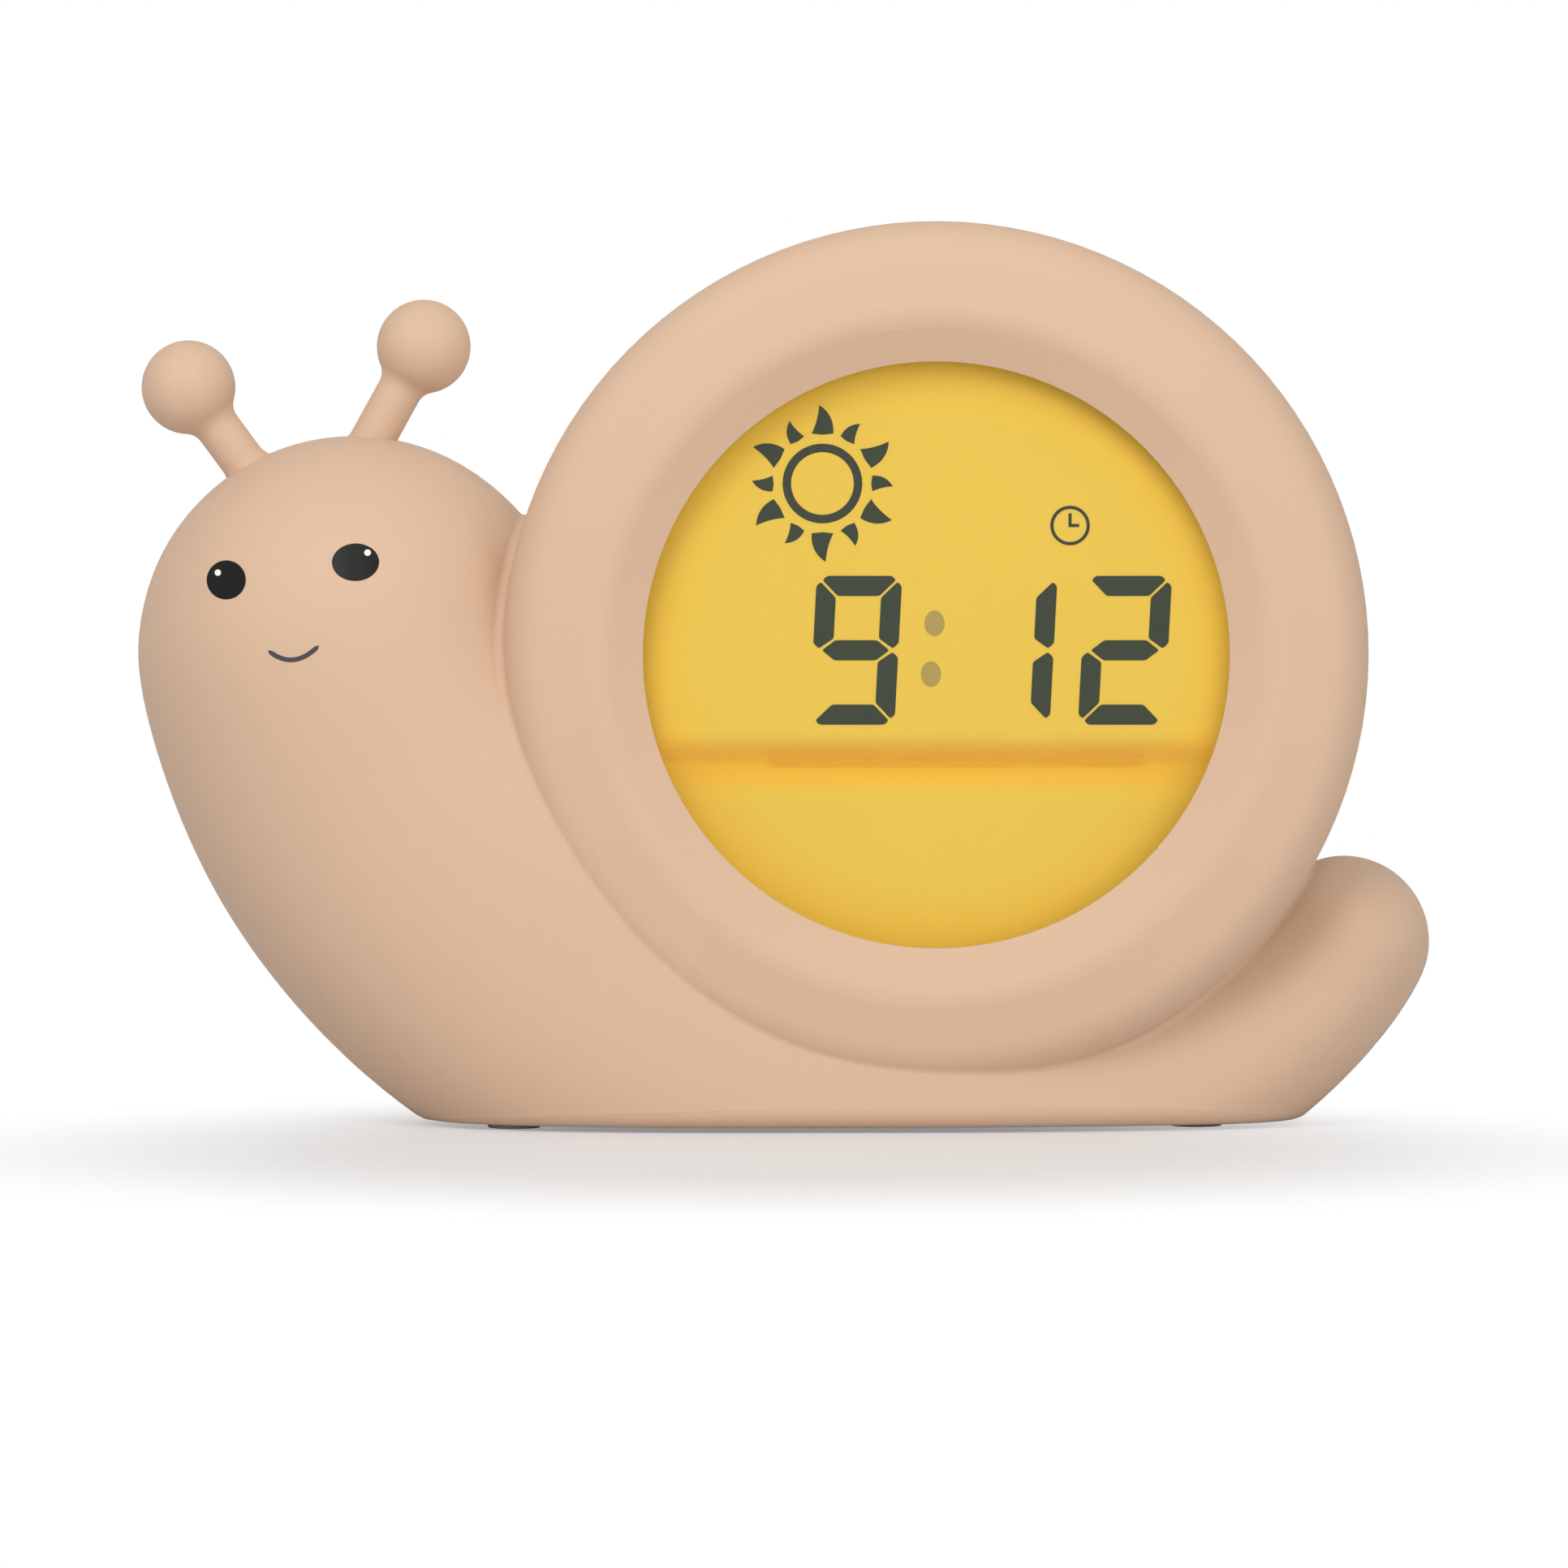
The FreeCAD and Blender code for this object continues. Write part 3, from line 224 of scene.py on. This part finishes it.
def striped(name, light, dark, bands):
    """Alternate layers, as in a connector strip or woven board, from a wave across X."""
    material, tree, surface = new_material(name, 0.5)
    place = tree.nodes.new("ShaderNodeTexCoord")
    wave = tree.nodes.new("ShaderNodeTexWave")
    wave.inputs["Scale"].default_value = bands
    wave.inputs["Distortion"].default_value = 0.4
    tree.links.new(place.outputs["Object"], wave.inputs["Vector"])
    tree.links.new(between(tree, wave.outputs["Fac"], light, dark), surface.inputs["Base Color"])
    bump(tree, surface, wave.outputs["Fac"], 0.15, 0.00002)
    return material


dress(striped("connector_layers", srgb(214, 180, 176), srgb(90, 70, 70), 600.0),
      "lcd_connector_strip")
solder_mask = striped("solder_mask", srgb(22, 92, 52), srgb(18, 82, 46), 350.0)
solder_mask.node_tree.nodes["Principled BSDF"].inputs["Roughness"].default_value = 0.3
dress(solder_mask, "main_board", "night_light_board", "key_board")
wire_red = moulded("wire_red", srgb(176, 42, 36), 0.4, 900.0, 0.00001)
dress(wire_red, "battery_wires")
wire_black = moulded("wire_black", srgb(30, 30, 32), 0.4, 900.0, 0.00001)
dress(wire_black, "speaker_wires", "key_wires", "night_light_wires")
print("inner finishes:", len(bpy.data.materials))

# %% [markdown]
# ## The lit display
# Behind a clear window lies the liquid crystal glass, and behind that a sheet that spreads the
# light of yellow diodes. The sheet glows and the glass tints it. We make the sheet emit part of its
# colour, so the ring's shadow doesn't darken it as it would a painted disc.

# %% Values that change smoothly with place
def object_place(tree):
    return tree.nodes.new("ShaderNodeTexCoord").outputs["Object"]


def object_height(tree):
    parts = tree.nodes.new("ShaderNodeSeparateXYZ")
    tree.links.new(object_place(tree), parts.inputs["Vector"])
    return parts.outputs["Z"]


def smooth_range(tree, value, low, high, at_low=0.0, at_high=1.0):
    """A soft ramp from at_low to at_high while the value goes from low to high."""
    ramp = tree.nodes.new("ShaderNodeMapRange")
    ramp.interpolation_type = "SMOOTHSTEP"
    ramp.inputs["From Min"].default_value = low
    ramp.inputs["From Max"].default_value = high
    ramp.inputs["To Min"].default_value = at_low
    ramp.inputs["To Max"].default_value = at_high
    tree.links.new(value, ramp.inputs["Value"])
    return ramp.outputs["Result"]


def change_with_height(material, socket, low, high, at_low, at_high):
    """Lets one value of a finish change smoothly between two heights."""
    tree = material.node_tree
    ramp = smooth_range(tree, object_height(tree), low, high, at_low, at_high)
    tree.links.new(ramp, tree.nodes["Principled BSDF"].inputs[socket])


# %% A sheet lit from behind
LCD_YELLOW = srgb(215, 179, 54)
RIM_YELLOW = srgb(224, 176, 34)
# The amber colour and the band values below paint the shadow that the glass's lower edge casts on
# the sheet.
SHADOW_AMBER = srgb(212, 162, 20)
WINDOW_LAP = 2.6 * MM
SHADOW_BAND_HEIGHT = 46.2 * MM
SHADOW_BAND_CORE = 0.5 * MM
SHADOW_BAND_REACH = 4.5 * MM
RIM_STARTS = 0.78
RIM_ENDS = 1.03


def display_circle():
    """Centre of the window's front face and its visible radius, read from the frame."""
    low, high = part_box("display_window")
    centre = Vector([(low[i] + high[i]) / 2 for i in range(3)])
    centre.y = low[1]
    return centre, (high[0] - low[0]) / 2 - WINDOW_LAP


def glass_edge_shadow_band(tree, tone):
    """A soft amber band across the sheet below the glass's lower edge: painted shadow of that edge.
    """
    drop = tree.nodes.new("ShaderNodeMath")
    drop.operation = "SUBTRACT"
    drop.inputs[1].default_value = SHADOW_BAND_HEIGHT
    tree.links.new(object_height(tree), drop.inputs[0])
    away = tree.nodes.new("ShaderNodeMath")
    away.operation = "ABSOLUTE"
    tree.links.new(drop.outputs["Value"], away.inputs[0])
    fade = smooth_range(tree, away.outputs["Value"], SHADOW_BAND_REACH, SHADOW_BAND_CORE)
    return between(tree, fade, tone, SHADOW_AMBER)


def lit_sheet(name, glow):
    """A sheet lit from behind: cloudy yellow that warms towards its rim, with a band of painted
    shadow below the glass's edge.
    """
    material, tree, surface = new_material(name, 0.6)
    surface.inputs["Specular IOR Level"].default_value = 0.15
    centre, reach = display_circle()
    away = tree.nodes.new("ShaderNodeVectorMath")
    away.operation = "DISTANCE"
    away.inputs[1].default_value = centre
    tree.links.new(object_place(tree), away.inputs[0])
    rim = smooth_range(tree, away.outputs["Value"], reach * RIM_STARTS, reach * RIM_ENDS)
    cloud = between(tree, noise(tree, 30.0, 2.0), shade(LCD_YELLOW, 0.97), shade(LCD_YELLOW, 1.03))
    # painted shadow: the sheet turns amber along the band under the glass's edge
    tone = glass_edge_shadow_band(tree, between(tree, rim, cloud, RIM_YELLOW))
    tree.links.new(tone, surface.inputs["Base Color"])
    tree.links.new(tone, surface.inputs["Emission Color"])
    surface.inputs["Emission Strength"].default_value = glow
    return material


# %% [markdown]
# The glass ends inside the round window. A hard lower edge would draw a line that the real display
# hides, so the glass thins out over its last five millimetres. The sheet behind lies in its shadow
# there, and a stronger glow makes up for that.

# %% Window, glass and diffuser finishes
DIFFUSER_GLOW = 0.14
GLASS_GLOW = 0.12
SHADED_GLOW = 0.55

diffuser = lit_sheet("lit_diffuser", DIFFUSER_GLOW)
dress(diffuser, "display_diffuser")
crystal = lit_sheet("lit_crystal", GLASS_GLOW)
dress(crystal, "lcd_glass")
change_with_height(crystal, "Alpha", 46.0 * MM, 51.0 * MM, 0.0, 1.0)
change_with_height(diffuser, "Emission Strength", 41.0 * MM, 49.0 * MM, DIFFUSER_GLOW, SHADED_GLOW)
window_finish, tree, surface = new_material("clear_window", 0.12)
haze = noise(tree, 60.0, 2.0)
tree.links.new(between(tree, haze, (0.9, 0.9, 0.88, 1), (0.94, 0.94, 0.92, 1)),
               surface.inputs["Base Color"])
surface.inputs["Alpha"].default_value = 0.02
surface.inputs["Specular IOR Level"].default_value = 0.1
dress(window_finish, "display_window")
print("display radius in mm:", round(display_circle()[1] / MM, 2))

# %% [markdown]
# ## Display segments
# The dark shapes are electrodes on the glass, a few thousandths of a millimetre thick. We lay them
# as thin plates just in front of the glass. Each digit is seven bars with mitred ends, drawn from
# its height, width and slant, so the same function makes every digit.

# %% Thin plates on the glass
SEGMENT_GREEN = srgb(36, 46, 22)
COLON_OLIVE = srgb(164, 138, 50)


def ink(name, colour, roughness, depth, specular=0.5):
    """Printing ink or a dark electrode: a very thin film with hardly any relief."""
    film = moulded(name, colour, roughness, 1500.0, depth)
    surface = film.node_tree.nodes["Principled BSDF"]
    surface.inputs["Specular IOR Level"].default_value = specular
    return film


segment_ink = ink("segment_ink", SEGMENT_GREEN, 0.5, 0.000002, 0.1)
faint_ink = ink("faint_segment_ink", COLON_OLIVE, 0.55, 0.000002)
GLASS_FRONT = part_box("lcd_glass")[0][1]
PLATE = 0.04 * MM


def flat_piece(name, outlines, material, y_front):
    """Thin plate from outlines of (x, z) points in millimetres, with its back at y_front."""
    mesh = bpy.data.meshes.new(name)
    work = bmesh.new()
    for outline in outlines:
        front = [work.verts.new((x * MM, y_front - PLATE, z * MM)) for x, z in outline]
        face = work.faces.new(front)
        face.normal_update()
        if face.normal.y > 0:
            face.normal_flip()
    bmesh.ops.triangulate(work, faces=work.faces[:])
    work.to_mesh(mesh)
    work.free()
    piece = bpy.data.objects.new(name, mesh)
    bpy.context.collection.objects.link(piece)
    thick = piece.modifiers.new("thickness", "SOLIDIFY")
    thick.thickness = PLATE
    thick.offset = -1
    mesh.materials.append(material)
    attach(piece, "clock")
    return piece


def rounded(points, radius, steps=4):
    """The outline with each corner swept by a short curve."""
    smooth = []
    count = len(points)
    for i in range(count):
        corner = Vector(points[i])
        before = (Vector(points[i - 1]) - corner)
        after = (Vector(points[(i + 1) % count]) - corner)
        reach = min(radius, before.length / 2.2, after.length / 2.2)
        start = corner + before.normalized() * reach
        end = corner + after.normalized() * reach
        for step in range(steps + 1):
            t = step / steps
            smooth.append(tuple(start * (1 - t) ** 2 + corner * 2 * t * (1 - t) + end * t ** 2))
    return smooth


# %% Seven-segment digits
DIGIT_HEIGHT = 18.8
DIGIT_BOTTOM = 51.55
BAR = 2.55
CORNER = 1.3
SLANT = math.tan(math.radians(3))
GAP = 0.22
BAR_ROUND = 0.3
DIGIT_BARS = {"9": "abcdfg", "1": "bc", "2": "abdeg"}


def digit_outlines(figure, left, width):
    """Bars of one digit, lettered a to g as usual, with the gaps between them cut on the mitre."""
    top = DIGIT_HEIGHT
    middle = top / 2
    half = BAR / 2
    notch = CORNER * 0.7
    long_side = (CORNER + GAP) / 2
    short_side = (CORNER - GAP) / 2
    across = [(long_side, short_side), (CORNER, 0), (width - CORNER, 0),
              (width - long_side, short_side), (width - BAR - GAP, BAR), (BAR + GAP, BAR)]
    upright = [(short_side, long_side), (0, CORNER), (0, middle - notch),
               (CORNER * 0.55, middle - GAP), (BAR, middle - half - GAP), (BAR, BAR + GAP)]
    bars = {
        "d": across,
        "a": [(x, top - z) for x, z in across],
        "g": [(notch + GAP, middle), (BAR + GAP, middle - half),
              (width - BAR - GAP, middle - half), (width - notch - GAP, middle),
              (width - BAR - GAP, middle + half), (BAR + GAP, middle + half)],
        "e": upright,
        "c": [(width - x, z) for x, z in upright],
        "f": [(x, top - z) for x, z in upright],
        "b": [(width - x, top - z) for x, z in upright],
    }
    outlines = []
    for bar in DIGIT_BARS[figure]:
        shape = rounded(bars[bar], BAR_ROUND, 3)
        outlines.append([(left + x + SLANT * z, DIGIT_BOTTOM + z) for x, z in shape])
    return outlines


digits = (("9", "hour_digit", 3.15, 10.8), ("1", "minute_tens_digit", 23.25, 10.3),
          ("2", "minute_units_digit", 37.1, 10.9))
for figure, piece_name, left, width in digits:
    flat_piece(piece_name, digit_outlines(figure, left, width), segment_ink,
               GLASS_FRONT)
print("digits:", "".join(entry[0] for entry in digits))


# %% Colon
def round_outline(x, z, half_wide, half_tall, steps=32):
    """An ellipse of (x, z) points."""
    points = []
    for step in range(steps):
        turn = 2 * math.pi * step / steps
        points.append((x + half_wide * math.cos(turn), z + half_tall * math.sin(turn)))
    return points


def band_outlines(x, z, outer, inner, steps=48):
    """A ring as short quads, which need no hole."""
    quads = []
    for step in range(steps):
        a = 2 * math.pi * step / steps
        b = 2 * math.pi * (step + 1) / steps
        quads.append([(x + outer * math.cos(a), z + outer * math.sin(a)),
                      (x + outer * math.cos(b), z + outer * math.sin(b)),
                      (x + inner * math.cos(b), z + inner * math.sin(b)),
                      (x + inner * math.cos(a), z + inner * math.sin(a))])
    return quads


DOT_HALF_SIZE = (1.28, 1.62)
colon = [round_outline(x, z, *DOT_HALF_SIZE) for x, z in ((19.0, 64.35), (18.55, 57.95))]
flat_piece("colon_dots", colon, faint_ink, GLASS_FRONT)

# %% [markdown]
# The sun is a ring with twelve flames, long and short in turn. Each flame has a hollow and a full
# side, both drawn as a curve that is pulled to one point on its way to the tip.

# %% Sun with flame rays
SUN = (4.85, 82.0)
SUN_RING = (5.03, 3.96)
RAY_BASE = 6.3
RAY_STEPS = 8
LONG_RAY = (9.9, 1.38, 0.4)
SHORT_RAY = (8.9, 1.0, -0.36)


def sun_ray(angle, tip, half_width, lean):
    """A flame-shaped ray: hollow on the side it leans to, full on the other."""
    def at(radius, sideways):
        turn = math.radians(angle)
        return (SUN[0] + radius * math.cos(turn) - sideways * math.sin(turn),
                SUN[1] + radius * math.sin(turn) + sideways * math.cos(turn))
    side = half_width if lean > 0 else -half_width
    length = tip - RAY_BASE
    first = Vector((RAY_BASE, side))
    point = Vector((tip, lean))
    last = Vector((RAY_BASE, -side))
    hollow = Vector((RAY_BASE + length * 0.42, side * 0.42))
    full = Vector((RAY_BASE + length * 0.66, -side * 1.1))
    outline = []
    for start, pull, end in ((first, hollow, point), (point, full, last)):
        for step in range(RAY_STEPS):
            t = step / RAY_STEPS
            spot = start * (1 - t) ** 2 + pull * 2 * t * (1 - t) + end * t ** 2
            outline.append(at(*spot))
    return outline + [at(RAY_BASE, -side), at(RAY_BASE - 0.16, 0)]


rays = [sun_ray(step * 30.0, *(LONG_RAY if step % 2 else SHORT_RAY)) for step in range(12)]
flat_piece("sun_icon", band_outlines(*SUN, *SUN_RING) + rays, segment_ink,
           GLASS_FRONT)

# %% Bell-clock icon
ICON = (36.1, 76.7)
ICON_RING = (2.5, 2.08)
HAND = 0.2
UP_HAND = 1.55
SIDE_HAND = 1.15


def icon_box(left, right, bottom, top):
    """An upright box whose sides are counted from the icon's middle."""
    x, z = ICON
    return [(x + left, z + bottom), (x + right, z + bottom),
            (x + right, z + top), (x + left, z + top)]


hands = [icon_box(-HAND, HAND, -HAND, UP_HAND), icon_box(HAND, SIDE_HAND, -HAND, HAND)]
flat_piece("bell_clock_icon", band_outlines(*ICON, *ICON_RING) + hands, segment_ink,
           GLASS_FRONT)

# %% [markdown]
# ## The printed face
# Eyes and smile are pad-printed on the round head, so they must follow its curve. We draw each
# shape flat, then drop every point along the pad's path, straight back, until it meets the casing.
# A ray cast finds that spot better than any guess at the head's formula.

# %% Drop flat shapes on the casing
BACKWARD = Vector((0, 1, 0))
CAST_FROM = -0.2
PRINT_LIFT = 0.03 * MM
casing = nodes["front_casing"]
casing_tree = BVHTree.FromObject(casing, bpy.context.evaluated_depsgraph_get())


def on_casing(x, z, lift):
    """The spot of the casing straight behind a point, raised by the film's thickness."""
    hit = casing_tree.ray_cast(Vector((x * MM, CAST_FROM, z * MM)), BACKWARD)[0]
    return hit - BACKWARD * lift


def casing_print(name, work, material):
    """Turns finished print geometry into a piece that rides with the clock."""
    bmesh.ops.recalc_face_normals(work, faces=work.faces[:])
    if sum(face.normal.y for face in work.faces) > 0:
        bmesh.ops.reverse_faces(work, faces=work.faces[:])
    mesh = bpy.data.meshes.new(name)
    work.to_mesh(mesh)
    work.free()
    for face in mesh.polygons:
        face.use_smooth = True
    mesh.materials.append(material)
    piece = bpy.data.objects.new(name, mesh)
    bpy.context.collection.objects.link(piece)
    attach(piece, "clock")
    return piece


# %% Filled shapes on the casing
def printed(name, outline, material, lift=PRINT_LIFT, rings=6):
    """A filled shape laid on the casing as rings that shrink to its middle."""
    mid_x = sum(point[0] for point in outline) / len(outline)
    mid_z = sum(point[1] for point in outline) / len(outline)
    work = bmesh.new()
    loops = []
    for ring in range(rings):
        part = 1 - ring / rings
        spots = [(mid_x + (x - mid_x) * part, mid_z + (z - mid_z) * part) for x, z in outline]
        loops.append([work.verts.new(on_casing(x, z, lift)) for x, z in spots])
    middle = work.verts.new(on_casing(mid_x, mid_z, lift))
    count = len(outline)
    for outer, inner in zip(loops, loops[1:]):
        for i in range(count):
            j = (i + 1) % count
            work.faces.new((outer[i], outer[j], inner[j], inner[i]))
    for i in range(count):
        work.faces.new((loops[-1][i], loops[-1][(i + 1) % count], middle))
    return casing_print(name, work, material)


# %% Eyes and their highlights
SPARK_HALF_SIZE = (0.42, 0.4)
eye_ink = ink("eye_ink", srgb(20, 19, 18), 0.4, 0.000003, 0.2)
smile_ink = ink("smile_ink", srgb(64, 62, 68), 0.4, 0.000003)
spark_ink = ink("eye_spark_ink", srgb(240, 236, 230), 0.4, 0.000003)
eyes = (("left_eye", (-70.5, 69.8), (2.57, 2.46), (-71.6, 70.7)),
        ("right_eye", (-54.0, 72.1), (2.98, 2.36), (-52.5, 73.3)))
for eye_name, middle, half_size, spark in eyes:
    printed(eye_name, round_outline(*middle, *half_size), eye_ink)
    printed(eye_name + "_spark", round_outline(*spark, *SPARK_HALF_SIZE, 20), spark_ink,
            PRINT_LIFT * 2, 3)


# %% Smile
def smile_stroke(start, low, end, width, steps=28):
    """A thin curved band through three points, with round ends."""
    centres = []
    for step in range(steps + 1):
        t = step / steps
        x = start[0] + (end[0] - start[0]) * t
        sag = 4 * t * (1 - t) * ((start[1] + end[1]) / 2 - low)
        centres.append(Vector((x, start[1] + (end[1] - start[1]) * t - sag)))
    work = bmesh.new()
    rows = []
    for i, centre in enumerate(centres):
        ahead = (centres[min(i + 1, steps)] - centres[max(i - 1, 0)]).normalized()
        side = Vector((-ahead.y, ahead.x))
        taper = math.sqrt(max(0.08, 1 - (2 * i / steps - 1) ** 16))
        row = []
        for part in (-1, 0, 1):
            spot = centre + side * part * width / 2 * taper
            row.append(work.verts.new(on_casing(spot.x, spot.y, PRINT_LIFT)))
        rows.append(row)
    for first, second in zip(rows, rows[1:]):
        for i in range(2):
            work.faces.new((first[i], first[i + 1], second[i + 1], second[i]))
    return casing_print("smile", work, smile_ink)


smile_stroke((-64.95, 60.95), 59.85, (-58.6, 61.6), 0.6)

# %% [markdown]
# ## The studio
# The clock stands on white, under a big soft light from the upper left, with a low fill that
# reaches under the shell. The world is white to the camera but plain grey as a light, so the
# casing keeps its own colour. The floor keeps its shadow near the clock and fades to paper white
# for the camera further off.

# %% Floor and backdrop
FLOOR_REACH = 3.0
SHADOW_MIDDLE = (0.0, -0.06, 0.0)
NEAR_WHITE = 0.25


def paper_floor(name, colour, near, far):
    """Plain matte paper near the clock that turns into pure white, for the camera, further off."""
    material, tree, surface = new_material(name, 0.45)
    surface.inputs["Base Color"].default_value = colour
    surface.inputs["Specular IOR Level"].default_value = 0.25
    away = tree.nodes.new("ShaderNodeVectorMath")
    away.operation = "DISTANCE"
    away.inputs[1].default_value = SHADOW_MIDDLE
    tree.links.new(object_place(tree), away.inputs[0])
    fade = smooth_range(tree, away.outputs["Value"], near, far, NEAR_WHITE)
    path = tree.nodes.new("ShaderNodeLightPath")
    share = tree.nodes.new("ShaderNodeMath")
    share.operation = "MULTIPLY"
    tree.links.new(path.outputs["Is Camera Ray"], share.inputs[0])
    tree.links.new(fade, share.inputs[1])
    white = tree.nodes.new("ShaderNodeEmission")
    mix = tree.nodes.new("ShaderNodeMixShader")
    tree.links.new(share.outputs["Value"], mix.inputs[0])
    tree.links.new(surface.outputs["BSDF"], mix.inputs[1])
    tree.links.new(white.outputs["Emission"], mix.inputs[2])
    tree.links.new(mix.outputs["Shader"], tree.nodes["Material Output"].inputs["Surface"])
    return material


floor_mesh = bpy.data.meshes.new("floor")
corners = [(x * FLOOR_REACH, y * FLOOR_REACH, 0) for x, y in ((-1, -1), (1, -1), (1, 1), (-1, 1))]
floor_mesh.from_pydata(corners, [], [(0, 1, 2, 3)])
floor = bpy.data.objects.new("floor", floor_mesh)
bpy.context.collection.objects.link(floor)
floor_mesh.materials.append(paper_floor("paper_white", (0.72, 0.73, 0.75, 1), 0.04, 0.125))

# %% World light
world = bpy.data.worlds.new("studio")
bpy.context.scene.world = world
world.use_nodes = True
tree = world.node_tree
background = tree.nodes["Background"]
background.inputs["Color"].default_value = (1, 1, 1, 1)
background.inputs["Strength"].default_value = 0.6
seen = tree.nodes.new("ShaderNodeBackground")
seen.inputs["Color"].default_value = (1, 1, 1, 1)
seen.inputs["Strength"].default_value = 1.0
path = tree.nodes.new("ShaderNodeLightPath")
either = tree.nodes.new("ShaderNodeMath")
either.operation = "MAXIMUM"
tree.links.new(path.outputs["Is Camera Ray"], either.inputs[0])
tree.links.new(path.outputs["Is Transmission Ray"], either.inputs[1])
mix = tree.nodes.new("ShaderNodeMixShader")
tree.links.new(either.outputs["Value"], mix.inputs[0])
tree.links.new(background.outputs["Background"], mix.inputs[1])
tree.links.new(seen.outputs["Background"], mix.inputs[2])
tree.links.new(mix.outputs["Shader"], tree.nodes["World Output"].inputs["Surface"])


# %% Soft lamps
LAMP_TARGET = Vector((0, 0, 0.05))


def softbox(name, place, power, size):
    """A square lamp that looks at the clock."""
    lamp = bpy.data.lights.new(name, "AREA")
    lamp.energy = power
    lamp.size = size
    holder = bpy.data.objects.new(name, lamp)
    holder.location = place
    aim = LAMP_TARGET - Vector(place)
    holder.rotation_euler = aim.to_track_quat("-Z", "Y").to_euler()
    bpy.context.collection.objects.link(holder)


softbox("key_softbox", (-0.4, -0.85, 0.9), 6.8, 0.7)
softbox("fill_softbox", (0.6, -1.1, 0.3), 5.2, 0.9)

# %% [markdown]
# ## The camera
# The photo was taken level with the clock, from far away: the window is a true circle. A long lens
# at a metre and a half keeps that look. The view's width follows from the clock's own length.

# %% Camera level with the clock
FRAME_WIDTH = 0.19824
DISTANCE = 1.5
ELEVATION = 2.0
camera_data = bpy.data.cameras.new("camera")
camera_data.sensor_width = 36.0
camera_data.lens = 36.0 * DISTANCE / FRAME_WIDTH
camera = bpy.data.objects.new("camera", camera_data)
target = Vector((0, -0.02, 0.044))
tilt = math.radians(ELEVATION)
camera.location = target + Vector((0, -DISTANCE * math.cos(tilt), DISTANCE * math.sin(tilt)))
camera.rotation_euler = (target - camera.location).to_track_quat("-Z", "Y").to_euler()
bpy.context.collection.objects.link(camera)
bpy.context.scene.camera = camera
bpy.context.scene.view_settings.view_transform = "Standard"
print("lens in mm:", round(camera_data.lens, 1))
